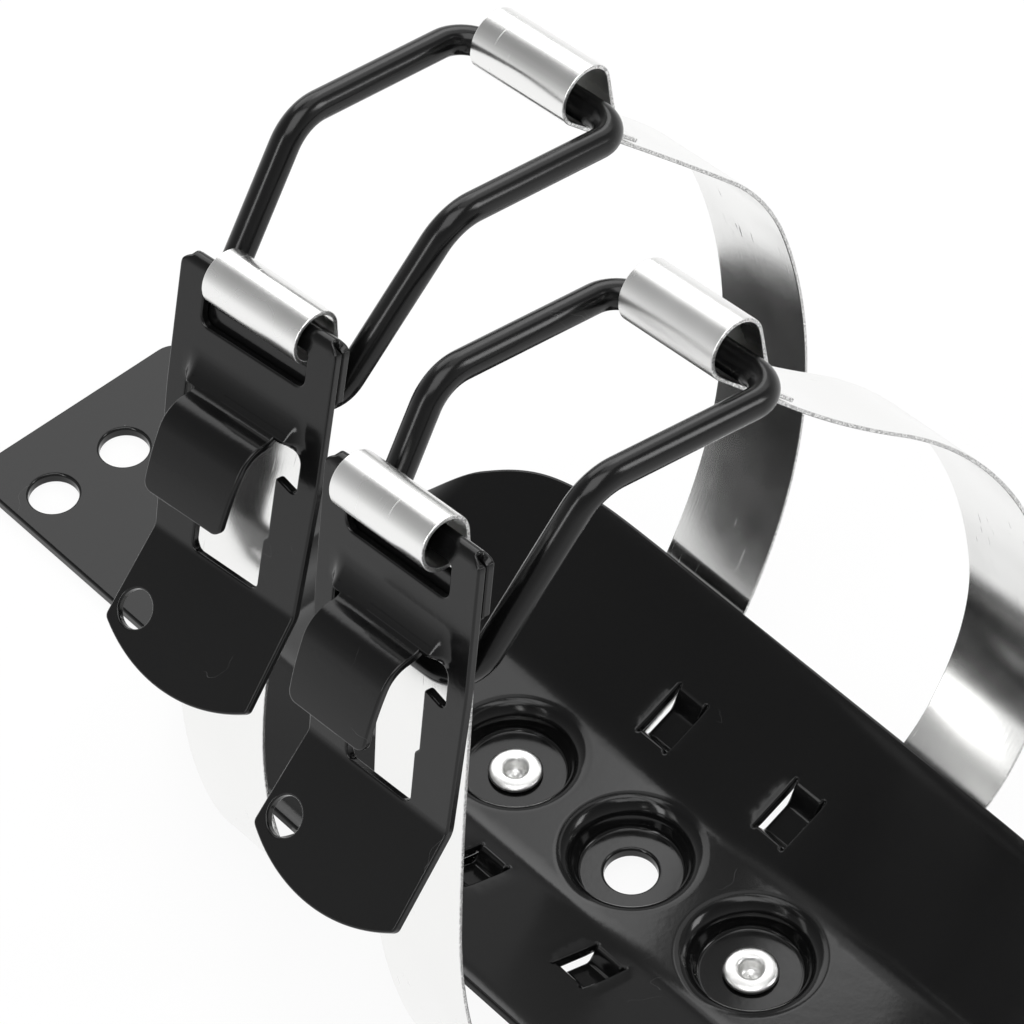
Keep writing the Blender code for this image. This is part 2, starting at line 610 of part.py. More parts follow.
def make_lever(number, strap, frame):
    bm = bmesh.new()
    prism(bm, lever_blank(), "X", -LEVER_T, 0.0)
    body = add_object(f"lever_{number}", bm, BLACK)
    cuts = bmesh.new()
    deep = (-LEVER_T - 0.001, 0.001)
    slot = rounded([(-SLOT_HALF_WIDTH, -HEM_HALF_HEIGHT), (SLOT_HALF_WIDTH, -HEM_HALF_HEIGHT),
                    (SLOT_HALF_WIDTH, -SLOT_BOTTOM), (-SLOT_HALF_WIDTH, -SLOT_BOTTOM)],
                   [0.001, 0.001, 0.0022, 0.0022])
    prism(cuts, slot, "X", *deep)
    window = [(NOTCH_HALF_WIDTH, -NOTCH_TOP), (NOTCH_HALF_WIDTH, -NOTCH_BOTTOM),
              (WINDOW_HALF_WIDTH, -NOTCH_BOTTOM + 0.0016), (WINDOW_HALF_WIDTH, -WINDOW_STEP),
              (WINDOW_LOW_HALF_WIDTH, -WINDOW_STEP), (WINDOW_LOW_HALF_WIDTH, -WINDOW_BOTTOM)]
    radii = [0.0024, 0.0012, 0.0, 0.0, 0.0, 0.002]
    outline = window + [(-a, b) for a, b in reversed(window)]
    prism(cuts, rounded(outline, radii + list(reversed(radii))), "X", *deep)
    hole_z = -HANDLE_BEND_AT - HANDLE_HOLE_DOWN
    hole = [(HANDLE_HOLE_SIDE + HANDLE_HOLE_R * math.cos(math.tau * i / 24),
             hole_z + HANDLE_HOLE_R * math.sin(math.tau * i / 24)) for i in range(24)]
    prism(cuts, hole, "X", *deep)
    boolean(body, add_object(f"lever_cuts_{number}", cuts), "DIFFERENCE")
    flat = bpy.context.evaluated_depsgraph_get()
    flat.update()
    blank = bmesh.new()
    blank.from_mesh(body.evaluated_get(flat).to_mesh())
    for level in (0, 1, 2, 3):
        height = -HANDLE_BEND_AT + HANDLE_BEND_R * strap["handle_bend"] * (0.5 - level / 3)
        everything = blank.verts[:] + blank.edges[:] + blank.faces[:]
        bmesh.ops.bisect_plane(blank, geom=everything, plane_co=(0, 0, height), plane_no=(0, 0, 1))
    bend_handle(blank, strap["handle_bend"])
    blank.to_mesh(body.data)
    blank.free()
    body.modifiers.clear()
    hem = bmesh.new()
    reach = LEVER_HALF_WIDTH - HEM_INSET
    height = HEM_HALF_HEIGHT - HEM_INSET
    ear = rounded([(reach, height), (-reach, height), (-reach, -height), (reach, -height)],
                  [LEVER_CORNER_R, LEVER_CORNER_R, 0.001, 0.001])
    prism(hem, ear, "X", -LEVER_T / 2, LEVER_T)
    boolean(body, add_object(f"lever_hem_{number}", hem), "UNION")
    edges = bmesh.new()
    for side in (-1, 1):
        corner = side * LEVER_T
        inner = corner - side * HEM_CHAMFER
        outer = corner + side * 0.001
        above = HEM_HALF_HEIGHT + 0.001
        wedge = [(inner, HEM_HALF_HEIGHT), (inner, above), (outer, above),
                 (outer, HEM_HALF_HEIGHT - HEM_CHAMFER), (corner, HEM_HALF_HEIGHT - HEM_CHAMFER)]
        prism(edges, wedge, "Y", -LEVER_HALF_WIDTH - 0.001, LEVER_HALF_WIDTH + 0.001)
    boolean(body, add_object(f"lever_edges_{number}", edges), "DIFFERENCE")
    hook = bmesh.new()
    path, headings = walk((-HOOK_ROOT + 0.0026, -LEVER_T / 2), math.pi, ((0.0026, 0.0),) + HOOK_SEGMENTS)
    top = []
    under = []
    for point, heading in zip(path, headings):
        normal = Vector((-math.sin(heading), math.cos(heading))) * (LEVER_T / 2 - 0.0001)
        top.append((point.y + normal.y, point.x + normal.x))
        under.append((point.y - normal.y, point.x - normal.x))
    prism(hook, [(a, b) for a, b in top] + list(reversed(under)), "Y", -HOOK_HALF_WIDTH, HOOK_HALF_WIDTH)
    boolean(body, add_object(f"lever_hook_{number}", hook), "UNION")
    bpy.data.objects.remove(bpy.data.objects[f"lever_cuts_{number}"], do_unlink=True)
    # The lever's bar hangs loosely in the eye, a little off the eye's centre and askew
    loose = Matrix.Translation((strap["bar_in"], strap["bar_side"], -strap["bar_down"]))
    loose = loose @ Matrix.Rotation(strap["lever_skew"], 4, "X")
    for name in (f"lever_{number}", f"lever_hem_{number}", f"lever_edges_{number}", f"lever_hook_{number}"):
        item = bpy.data.objects[name]
        item.data.transform(loose)
        item.location = frame["hinge"]
        item.rotation_mode = "YXZ"
        item.rotation_euler = (strap["tilt"], strap["lever_angle"], strap["turn"])
    return body


def fillet_path(corners, radii, steps=6):
    """Round the corners of a closed 3D path."""
    out = []
    count = len(corners)
    for i in range(count):
        point = corners[i]
        before = (corners[i - 1] - point).normalized()
        after = (corners[(i + 1) % count] - point).normalized()
        half = before.angle(after) / 2
        reach = radii[i] / math.tan(half)
        middle = (before + after).normalized()
        centre = point + middle * (radii[i] / math.sin(half))
        first = point + before * reach - centre
        last = point + after * reach - centre
        axis = first.cross(last).normalized()
        sweep = first.angle(last)
        for k in range(steps + 1):
            out.append(centre + Matrix.Rotation(sweep * k / steps, 3, axis) @ first)
    return out


def bail_low_point():
    """The lower bar's axis from the top bar's, in the bail's own X and Z."""
    out = BAIL_UPPER_LEG + BAIL_LOWER_LEG * math.cos(BAIL_KNEE)
    down = BAIL_LOWER_LEG * math.sin(BAIL_KNEE)
    return Vector((-out, -down))


def make_bail(number, strap, frame):
    low = bail_low_point()
    corners = [Vector((0, -BAIL_TOP_HALF, 0)), Vector((-BAIL_UPPER_LEG, -BAIL_MID_HALF, 0)),
               Vector((low.x, -BAIL_LOW_HALF, low.y)), Vector((low.x, BAIL_LOW_HALF, low.y)),
               Vector((-BAIL_UPPER_LEG, BAIL_MID_HALF, 0)), Vector((0, BAIL_TOP_HALF, 0))]
    radii = [BAIL_TOP_R, BAIL_KNEE_R, BAIL_LOW_R, BAIL_LOW_R, BAIL_KNEE_R, BAIL_TOP_R]
    path = fillet_path(corners, radii)
    curve = bpy.data.curves.new(f"bail_{number}", "CURVE")
    curve.dimensions = "3D"
    curve.bevel_depth = WIRE_D / 2
    curve.bevel_resolution = 4
    line = curve.splines.new("POLY")
    line.points.add(len(path) - 1)
    for slot, point in zip(line.points, path):
        slot.co = (*point, 1.0)
    line.use_cyclic_u = True
    curve.materials.append(material(BLACK))
    item = bpy.data.objects.new(f"bail_{number}", curve)
    bpy.context.collection.objects.link(item)
    item.location = frame["pivot"]
    item.rotation_mode = "YXZ"
    item.rotation_euler = (strap["tilt"], frame["rest"], strap["turn"])
    return item


def buckle_frame(strap):
    """Hinge of the lever, pivot of the bail and the bail's rest angle, from the two eyes."""
    tangent, _, outward = eye_frame(strap["left"])
    hinge = Vector((-tangent.x, tangent.y)) + Vector((-outward.x, outward.y)) * LEVER_EYE_R
    angle = strap["lever_angle"]
    down = Vector((-math.sin(angle), -math.cos(angle)))
    inward = Vector((math.cos(angle), -math.sin(angle)))
    tangent, heading, outward = eye_frame(strap["right"])
    seat = STRAP_T / 2 + CLEARANCE + WIRE_D / 2
    pivot = tangent + outward * seat - heading * strap["seat_back"]
    # The lower bar lies behind the lever's plate, at its own distance from the pivot
    low = bail_low_point()
    start = hinge + inward * (strap["bar_in"] + CLEARANCE + WIRE_D / 2) - pivot
    along = start.dot(down)
    root = math.sqrt(along ** 2 - start.length_squared + low.length_squared)
    bar = start + down * (root - along)
    rest = math.atan2(-low.y, -low.x) - math.atan2(-bar.y, -bar.x)
    return {"hinge": placed(strap, hinge.x, 0.0, hinge.y), "pivot": placed(strap, pivot.x, 0.0, pivot.y),
            "rest": rest, "bar_below_hinge": root - along}


def main():
    clear_scene()
    make_back_plate()
    for number, strap in STRAPS.items():
        frame = buckle_frame(strap)
        make_strap(number, strap)
        make_rivet(number, strap)
        make_lever(number, strap, frame)
        make_bail(number, strap, frame)


main()
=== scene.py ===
"""A strap bracket for a fire extinguisher, dressed for a picture.

The pressed plate comes first, then its straps, rivets, levers and wire bails, as they are put together.
"""
import json
import math

import bpy
import numpy as np
from mathutils import Euler, Matrix, Vector
from mathutils.geometry import delaunay_2d_cdt


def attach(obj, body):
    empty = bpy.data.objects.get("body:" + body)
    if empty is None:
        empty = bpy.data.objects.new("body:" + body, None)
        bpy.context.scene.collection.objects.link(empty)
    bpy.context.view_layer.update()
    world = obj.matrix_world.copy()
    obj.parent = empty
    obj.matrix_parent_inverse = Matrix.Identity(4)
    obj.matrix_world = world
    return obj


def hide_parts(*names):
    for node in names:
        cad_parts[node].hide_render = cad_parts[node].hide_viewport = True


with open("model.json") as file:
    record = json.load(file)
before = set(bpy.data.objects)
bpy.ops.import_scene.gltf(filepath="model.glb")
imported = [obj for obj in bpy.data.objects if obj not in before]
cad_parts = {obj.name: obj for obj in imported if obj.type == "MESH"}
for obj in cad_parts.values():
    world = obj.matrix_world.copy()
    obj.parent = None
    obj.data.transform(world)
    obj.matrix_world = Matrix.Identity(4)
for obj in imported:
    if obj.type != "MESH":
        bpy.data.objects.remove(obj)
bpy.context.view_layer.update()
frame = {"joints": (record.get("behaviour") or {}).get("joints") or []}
MM = 0.001

# Camera. A long lens looks down on the latch side, from the front left corner.
# It stands over a metre away, so the bracket shows almost no perspective.
turn, lift, roll = math.radians(-41.848), math.radians(48.7), math.radians(-0.853)
picture_width, focal_pixels = 1024.0, 4999.9
distance, slide_x, slide_y = 1100.4 * MM, -26.18 * MM, 82.65 * MM
back = Vector((math.sin(turn) * math.cos(lift), -math.cos(turn) * math.cos(lift), math.sin(lift)))
level = Vector((math.cos(turn), math.sin(turn), 0.0))
upright = back.cross(level)
right = level * math.cos(roll) + upright * math.sin(roll)
top = upright * math.cos(roll) - level * math.sin(roll)
camera = bpy.data.objects.new("camera", bpy.data.cameras.new("camera"))
bpy.context.scene.collection.objects.link(camera)
place = right * slide_x + top * slide_y + back * distance
camera.matrix_world = Matrix((
    (right.x, top.x, back.x, place.x),
    (right.y, top.y, back.y, place.y),
    (right.z, top.z, back.z, place.z),
    (0.0, 0.0, 0.0, 1.0)))
camera.data.sensor_width = 36.0
camera.data.lens = camera.data.sensor_width * focal_pixels / picture_width
camera.data.clip_start = 0.02
camera.data.clip_end = 30.0
bpy.context.scene.camera = camera
bpy.context.scene.view_settings.view_transform = "Standard"

# Studio. The bracket lies on a white table, under a big soft box from above, with a strip light and a panel
# on each side. The room beyond them is grey, which gives the bright metal its soft dark bands.
table_reach, table_top = 6.0, -0.4 * MM
table = bpy.data.objects.new("table", bpy.data.meshes.new("table"))
corners = [(x * table_reach, y * table_reach, table_top) for x, y in ((-1, -1), (1, -1), (1, 1), (-1, 1))]
table.data.from_pydata(corners, [], [(0, 1, 2, 3)])
bpy.context.scene.collection.objects.link(table)
white = bpy.data.materials.new("white table")
white.use_nodes = True
tree = white.node_tree
tree.nodes.clear()
rays = tree.nodes.new("ShaderNodeLightPath")
seen = tree.nodes.new("ShaderNodeMath")
seen.operation = "MAXIMUM"
share = tree.nodes.new("ShaderNodeMath")
share.operation = "MULTIPLY"
share.inputs[1].default_value = 0.92
matt = tree.nodes.new("ShaderNodeBsdfDiffuse")
matt.inputs["Color"].default_value = (0.90, 0.90, 0.90, 1.0)
paper = tree.nodes.new("ShaderNodeEmission")
paper.inputs["Color"].default_value = (1.0, 1.0, 1.0, 1.0)
paper.inputs["Strength"].default_value = 1.0
blend = tree.nodes.new("ShaderNodeMixShader")
out = tree.nodes.new("ShaderNodeOutputMaterial")
tree.links.new(rays.outputs["Is Camera Ray"], seen.inputs[0])
tree.links.new(rays.outputs["Is Glossy Ray"], seen.inputs[1])
tree.links.new(seen.outputs[0], share.inputs[0])
tree.links.new(share.outputs[0], blend.inputs[0])
tree.links.new(matt.outputs[0], blend.inputs[1])
tree.links.new(paper.outputs[0], blend.inputs[2])
tree.links.new(blend.outputs[0], out.inputs["Surface"])
table.data.materials.append(white)

room = bpy.data.worlds.new("studio")
bpy.context.scene.world = room
room.use_nodes = True
tree = room.node_tree
tree.nodes.clear()
rays = tree.nodes.new("ShaderNodeLightPath")
way = tree.nodes.new("ShaderNodeTexCoord")
split = tree.nodes.new("ShaderNodeSeparateXYZ")
walls = tree.nodes.new("ShaderNodeValToRGB")
walls.color_ramp.interpolation = "EASE"
stops = walls.color_ramp.elements
stops[0].position, stops[0].color = 0.0, (0.90, 0.90, 0.90, 1.0)
stops[1].position, stops[1].color = 1.0, (0.30, 0.30, 0.30, 1.0)
for position, grey in ((0.12, 0.78), (0.30, 0.58), (0.55, 0.40), (0.80, 0.28)):
    stop = stops.new(position)
    stop.color = (grey, grey, grey, 1.0)
surround = tree.nodes.new("ShaderNodeBackground")
surround.inputs["Strength"].default_value = 0.9
plain = tree.nodes.new("ShaderNodeBackground")
plain.inputs["Color"].default_value = (1.0, 1.0, 1.0, 1.0)
blend = tree.nodes.new("ShaderNodeMixShader")
out = tree.nodes.new("ShaderNodeOutputWorld")
tree.links.new(way.outputs["Generated"], split.inputs[0])
tree.links.new(split.outputs["Z"], walls.inputs[0])
tree.links.new(walls.outputs["Color"], surround.inputs["Color"])
tree.links.new(rays.outputs["Is Camera Ray"], blend.inputs[0])
tree.links.new(surround.outputs[0], blend.inputs[1])
tree.links.new(plain.outputs[0], blend.inputs[2])
tree.links.new(blend.outputs[0], out.inputs["Surface"])


def soft_light(name, size, power, spot, aim):
    """Hang a rectangular soft light that faces a point."""
    lamp = bpy.data.lights.new(name, "AREA")
    lamp.shape = "RECTANGLE"
    lamp.size, lamp.size_y = size
    lamp.energy = power
    item = bpy.data.objects.new(name, lamp)
    item.location = spot
    item.rotation_euler = (Vector(aim) - Vector(spot)).to_track_quat("-Z", "Y").to_euler()
    bpy.context.scene.collection.objects.link(item)


soft_light("overhead softbox", (0.9, 0.9), 8.0, (-0.20, -0.15, 1.35), (0.0, 0.0, 0.1))
soft_light("left strip", (0.25, 0.9), 4.5, (-1.10, 0.0, 0.90), (0.0, 0.0, 0.15))
soft_light("right strip", (0.3, 0.5), 3.2, (0.75, -0.70, 0.85), (0.0, 0.0, 0.1))
soft_light("back panel", (1.1, 0.8), 6.0, (0.55, 0.92, 0.95), (0.0, 0.1, 0.1))
soft_light("side panel", (0.6, 0.9), 2.0, (0.60, 0.25, 0.95), (0.0, 0.0, 0.0))

# Back plate. One 3 mm steel pressing: flat holed tongues, a raised trough with winged sides, three deep
# dimples down its middle, and a gloss black powder coat that softens every edge.


def ring_offsets(loop, depths, solid_left=True):
    """Copies of a closed loop stepped into the metal, each point with its depth and its way out."""
    points = np.array(loop, float)
    before = np.roll(points, 1, axis=0)
    after = np.roll(points, -1, axis=0)
    along = after - before
    along /= np.linalg.norm(along, axis=1, keepdims=True)
    inward = np.stack([-along[:, 1], along[:, 0]], axis=1)
    area = np.sum(points[:, 0] * after[:, 1] - after[:, 0] * points[:, 1])
    if (area > 0) != solid_left:
        inward = -inward
    return [(points + inward * depth, np.full(len(points), depth), -inward) for depth in depths]


def within(points, loop):
    """Which points lie inside a closed loop."""
    loop = np.array(loop, float)
    after = np.roll(loop, -1, axis=0)
    found = np.zeros(len(points), bool)
    for (x0, y0), (x1, y1) in zip(loop, after):
        crosses = (y0 > points[:, 1]) != (y1 > points[:, 1])
        if y0 != y1:
            found ^= crosses & (points[:, 0] < (x1 - x0) * (points[:, 1] - y0) / (y1 - y0) + x0)
    return found


def near_loop(points, loop, reach):
    """Which points lie within a distance of any corner of a closely stepped loop."""
    loop = np.array(loop, float)
    found = np.zeros(len(points), bool)
    for start in range(0, len(points), 2000):
        part = points[start:start + 2000]
        gaps = ((part[:, None, :] - loop[None, :, :]) ** 2).sum(axis=2).min(axis=1)
        found[start:start + 2000] = gaps < reach ** 2
    return found


def pressed_sheet(name, outline, holes, inner, front, thickness, soft):
    """Form one closed sheet from its flat pattern.

    front() takes pattern points to the face of the formed metal, its outward normals, and the way
    straight back through the metal.
    Every cut edge is rounded to the radius soft, and the pattern itself is kept as the UV map.
    """
    depths = [soft * share for share in (0.0, 0.12, 0.4, 1.0)]
    loops = ring_offsets(outline, depths)
    for hole in holes:
        loops += ring_offsets(hole, depths, solid_left=False)
    inner = np.array(inner, float).reshape(-1, 2)
    keep = within(inner, outline)
    for loop in [outline] + list(holes):
        if loop is not outline:
            keep &= ~within(inner, loop)
        keep &= ~near_loop(inner, loop, soft * 1.35)
    inner = inner[keep]
    flat = [points for points, _, _ in loops] + [inner]
    depth = np.concatenate([d for _, d, _ in loops] + [np.full(len(inner), soft)])
    outward = np.concatenate([w for _, _, w in loops] + [np.zeros((len(inner), 2))])
    edges = []
    first = 0
    rims = []
    for points, d, _ in loops:
        count = len(points)
        edges += [(first + i, first + (i + 1) % count) for i in range(count)]
        if d[0] == 0.0:
            rims.append((first, count))
        first += count
    flat = np.concatenate(flat)
    made = delaunay_2d_cdt([Vector(p) for p in flat], edges, [], 0, 1e-8)
    points = np.array([tuple(p) for p in made[0]])
    source = [ids[0] if ids else -1 for ids in made[3]]
    if min(source) < 0:
        raise ValueError(f"the pattern of {name} crosses itself")
    depth = depth[source]
    outward = outward[source]
    faces = np.array([tuple(f) for f in made[2]])
    middle = points[faces].mean(axis=1)
    keep = within(middle, outline)
    for hole in holes:
        keep &= ~within(middle, hole)
    faces = faces[keep]
    across = points[faces[:, 1]] - points[faces[:, 0]]
    onward = points[faces[:, 2]] - points[faces[:, 0]]
    back_to_front = across[:, 0] * onward[:, 1] - across[:, 1] * onward[:, 0] < 0
    faces[back_to_front] = faces[back_to_front][:, ::-1]
    place, normal, through = front(points)
    step = 1e-5
    du = (front(points + [step, 0])[0] - front(points - [step, 0])[0]) / (2 * step)
    dv = (front(points + [0, step])[0] - front(points - [0, step])[0]) / (2 * step)
    side = outward[:, :1] * du + outward[:, 1:] * dv
    side /= np.maximum(np.linalg.norm(side, axis=1, keepdims=True), 1e-9)
    sine = np.clip((soft - depth) / soft, 0.0, 1.0)[:, None]
    cosine = np.sqrt(1 - sine ** 2)
    sink = soft * (1 - cosine)
    top_points = place - normal * sink
    top_normals = normal * cosine + side * sine
    low_points = place + through * (thickness - sink)
    low_normals = -normal * cosine + side * sine
    count = len(points)
    flip = np.cross(du, dv)
    if (flip * normal).sum() < 0:
        faces = faces[:, ::-1]
    polygons = [tuple(f) for f in faces] + [tuple(f[::-1] + count) for f in faces]
    rank = {ids: i for i, ids in enumerate(source)}
    edge_faces = {}
    for a, b, c in faces:
        for pair in ((a, b), (b, c), (c, a)):
            edge_faces[pair] = True
    for first, size in rims:
        ring = [rank[first + i] for i in range(size) if first + i in rank]
        for a, b in zip(ring, ring[1:] + ring[:1]):
            if (a, b) in edge_faces:
                polygons.append((b, a, a + count, b + count))
            elif (b, a) in edge_faces:
                polygons.append((a, b, b + count, a + count))
    mesh = bpy.data.meshes.new(name)
    polygons = [tuple(int(i) for i in polygon) for polygon in polygons]
    mesh.from_pydata(np.concatenate([top_points, low_points]).tolist(), [], polygons)
    mesh.update()
    mesh.shade_smooth()
    pattern = mesh.uv_layers.new(name="pattern")
    corner = np.zeros(len(mesh.loops), np.int32)
    mesh.loops.foreach_get("vertex_index", corner)
    pattern.uv.foreach_set("vector", points[corner % count].astype(np.float32).ravel())
    normals = np.concatenate([top_normals, low_normals])
    mesh.normals_split_custom_set_from_vertices(normals.tolist())
    item = bpy.data.objects.new(name, mesh)
    bpy.context.scene.collection.objects.link(item)
    return item


def round_outline(corners, radii, spacing=0.0008):
    """Round a closed outline's corners and step its sides evenly."""
    corners = [Vector(c) for c in corners]
    count = len(corners)
    arcs = []
    for i, corner in enumerate(corners):
        before = (corners[i - 1] - corner).normalized()
        after = (corners[(i + 1) % count] - corner).normalized()
        radius = radii[i]
        if radius <= 0:
            arcs.append([corner])
            continue
        half = before.angle(after) / 2
        reach = radius / math.tan(half)
        centre = corner + (before + after).normalized() * (radius / math.sin(half))
        start = corner + before * reach - centre
        sweep = start.angle_signed(corner + after * reach - centre)
        steps = max(3, math.ceil(abs(sweep) / math.radians(9)))
        arc = []
        for k in range(steps + 1):
            spoke = start.copy()
            spoke.rotate(Matrix.Rotation(-sweep * k / steps, 2))
            arc.append(centre + spoke)
        arcs.append(arc)
    loop = []
    for i, arc in enumerate(arcs):
        loop += arc
        target = arcs[(i + 1) % count][0]
        gap = (target - arc[-1]).length
        pieces = max(1, math.ceil(gap / spacing))
        loop += [arc[-1].lerp(target, k / pieces) for k in range(1, pieces)]
    clean = []
    for point in loop:
        if not clean or (point - clean[-1]).length > 1e-6:
            clean.append(point)
    if (clean[0] - clean[-1]).length < 1e-6:
        clean.pop()
    return [tuple(p) for p in clean]


def circle(x, y, radius, steps=72):
    return [(x + radius * math.cos(math.tau * i / steps), y + radius * math.sin(math.tau * i / steps))
            for i in range(steps)]


plate_t = 2.96 * MM
plate_half_length = 193.8 * MM
tongue_half_width, tongue_corner, tongue_top = 32.3 * MM, 6.0 * MM, 3.0 * MM
saddle_half_width, shoulder_r = 56.4 * MM, 9.0 * MM
waist_start, waist_end, waist_r = 80.7 * MM, 109.4 * MM, 85.5 * MM
ramp_end, ramp_run = 126.0 * MM, 28.0 * MM
bed_half_width, bed_top = 18.6 * MM, 13.0 * MM
wing_slope, wing_bend, rim_width = math.tan(math.radians(22.2)), 6.0 * MM, 4.5 * MM
rim_slope = math.tan(math.radians(8))
dimple_pitch, dimple_floor, dimple_floor_top = 37.5 * MM, 11.0 * MM, 6.0 * MM
wall_angle, floor_fillet, mouth_fillet = math.radians(76), 1.1 * MM, 4.6 * MM
wall_hole_r, wall_hole_pitch, wall_hole_y = 6.0 * MM, 21.5 * MM, 174.7 * MM
centre_hole_r, rivet_hole_r = 6.0 * MM, 3.2 * MM
louvre_x, louvre_y, louvre_half_x, louvre_half_width = 29.8 * MM, 18.4 * MM, 6.5 * MM, 4.25 * MM
louvre_depth, louvre_ramp, slit_half = 4.6 * MM, 3.6 * MM, 0.18 * MM
slit_sink, slit_sink_reach, slit_sink_start = 0.35 * MM, 1.6 * MM, 0.3
square_within, straight_run, plate_edge_r = 40.0 * MM, 14.0 * MM, 0.75 * MM

chord = Vector((tongue_half_width - saddle_half_width, waist_end - waist_start))
waist_centre = Vector((saddle_half_width + tongue_half_width, waist_start + waist_end)) / 2
waist_centre += Vector((-chord.y, chord.x)).normalized() * math.sqrt(waist_r ** 2 - chord.length_squared / 4)


def soft_min(a, b, radius):
    """The smaller of two lengths, rounded over where they meet."""
    h = np.maximum(radius - np.abs(a - b), 0.0) / radius
    return np.minimum(a, b) - h * h * radius / 4


def plate_half_width(y):
    """Half the plate's width: the saddle, drawn in by a large arc to each tongue."""
    reach = np.abs(y)
    under = waist_r ** 2 - (reach - waist_centre.y) ** 2
    arc = waist_centre.x + np.sqrt(np.maximum(under, 0.0))
    arc = np.where(reach < waist_centre.y, waist_centre.x + waist_r, arc)
    saddle = soft_min(np.full_like(reach, saddle_half_width), arc, shoulder_r)
    return -soft_min(np.full_like(reach, -tongue_half_width), -saddle, shoulder_r)


def dimple_depth(r):
    """How far the pressing lies below the bed at a distance from a dimple's centre."""
    total = bed_top - dimple_floor_top
    low = floor_fillet * (1 - math.cos(wall_angle))
    high = mouth_fillet * (1 - math.cos(wall_angle))
    run = (total - low - high) / math.tan(wall_angle)
    r1 = dimple_floor + floor_fillet * math.sin(wall_angle)
    r2 = r1 + run
    r3 = r2 + mouth_fillet * math.sin(wall_angle)
    a = np.clip(r - dimple_floor, 0.0, r1 - dimple_floor)
    rise = floor_fillet - np.sqrt(np.maximum(floor_fillet ** 2 - a ** 2, 0.0))
    rise = rise + np.clip(r - r1, 0.0, run) * math.tan(wall_angle)
    b = np.clip(r3 - r, 0.0, r3 - r2)
    rise = rise + high - (mouth_fillet - np.sqrt(np.maximum(mouth_fillet ** 2 - b ** 2, 0.0)))
    return np.where(r >= r3, 0.0, total - rise)


def louvre_drop(x, y):
    """How far the four lanced bridges are pressed back through the wings."""
    inside = (louvre_half_x - np.abs(np.abs(x) - louvre_x)) / louvre_ramp
    t = np.clip(inside, 0.0, 1.0)
    across = np.abs(np.abs(y) - louvre_y)
    pressed = t * t * (3 - 2 * t)
    beside = np.exp(-((across - louvre_half_width) / slit_sink_reach) ** 2)
    beside = beside * np.clip(inside + slit_sink_start, 0.0, 1.0)
    return np.where(across < louvre_half_width, louvre_depth * pressed, slit_sink * beside)


def plate_height(x, y, bare=False):
    """The plate's face above the wall; bare leaves out the louvres."""
    reach = np.abs(x)
    bend_from = bed_half_width - wing_bend / 2
    part = np.clip((reach - bend_from) / wing_bend, 0.0, 1.0)
    height = bed_top + wing_slope * wing_bend * part ** 2 / 2
    height = height + wing_slope * np.maximum(reach - bend_from - wing_bend, 0.0)
    rim = np.clip((reach - (saddle_half_width - rim_width)) / rim_width, 0.0, 1.0)
    height = height - (wing_slope - rim_slope) * rim_width * rim ** 2 / 2
    t = np.clip((ramp_end - np.abs(y)) / ramp_run, 0.0, 1.0)
    raised = t * t * (3 - 2 * t)
    z = tongue_top + raised * (height - tongue_top)
    for centre in (-dimple_pitch, 0.0, dimple_pitch):
        z = z - dimple_depth(np.hypot(x, y - centre))
    return z if bare else z - louvre_drop(x, y)


def plate_normal(x, y, bare):
    step = 0.01 * MM
    dx = (plate_height(x + step, y, bare) - plate_height(x - step, y, bare)) / (2 * step)
    dy = (plate_height(x, y + step, bare) - plate_height(x, y - step, bare)) / (2 * step)
    normal = np.stack([-dx, -dy, np.ones_like(dx)], axis=1)
    return normal / np.linalg.norm(normal, axis=1, keepdims=True)


def plate_face(points):
    """The metal lies square to its face in the bed, and straight down at its long rims."""
    x, y = points[:, 0], points[:, 1]
    base = plate_normal(x, y, True)
    rim = np.clip((np.abs(x) - square_within) / straight_run, 0.0, 1.0)[:, None]
    straight = np.array([0.0, 0.0, -1.0]) / base[:, 2:]
    through = -base * (1 - rim) + straight * rim
    return np.stack([x, y, plate_height(x, y)], axis=1), plate_normal(x, y, False), through


ys = np.concatenate([np.arange(0.0, 60 * MM, 1.5 * MM), np.arange(60 * MM, 130 * MM, 1.0 * MM),
                     np.arange(130 * MM, plate_half_length - tongue_corner, 1.6 * MM)])
side_points = [(float(plate_half_width(np.array([y]))[0]), float(y)) for y in ys]
corner_arc = [(tongue_half_width - tongue_corner * (1 - math.cos(a)),
               plate_half_length - tongue_corner * (1 - math.sin(a)))
              for a in np.linspace(0, math.pi / 2, 12)]
end_x = np.arange(tongue_half_width - tongue_corner - 1.5 * MM, 0.0, -1.5 * MM)
quarter = side_points + corner_arc + [(float(x), plate_half_length) for x in end_x]
half = quarter + [(0.0, plate_half_length)] + [(-x, y) for x, y in reversed(quarter)]
plate_outline = half + [(x, -y) for x, y in reversed(half[1:-1])]
plate_holes = [circle(0.0, 0.0, centre_hole_r)]
plate_holes += [circle(0.0, side * dimple_pitch, rivet_hole_r, 40) for side in (-1, 1)]
plate_holes += [circle(column * wall_hole_pitch, side * wall_hole_y, wall_hole_r)
                for side in (-1, 1) for column in (-1, 0, 1)]
for side_x in (-1, 1):
    for side_y in (-1, 1):
        for slit in (-1, 1):
            x, y = side_x * louvre_x, side_y * louvre_y + slit * louvre_half_width
            left, right = x - louvre_half_x, x + louvre_half_x
            low, high = y - slit_half, y + slit_half
            plate_holes.append(round_outline([(left, low), (right, low), (right, high), (left, high)],
                                             [slit_half * 0.9] * 4, 0.4 * MM))
grid = []
columns = np.concatenate([np.arange(0.0, 24 * MM, 1.5 * MM), np.arange(24 * MM, 50 * MM, 3.0 * MM),
                          np.arange(50 * MM, 57 * MM, 0.8 * MM)])
rows = np.concatenate([np.arange(0.0, 96 * MM, 3.0 * MM), np.arange(96 * MM, 128 * MM, 1.0 * MM),
                       np.arange(128 * MM, 194 * MM, 3.0 * MM)])
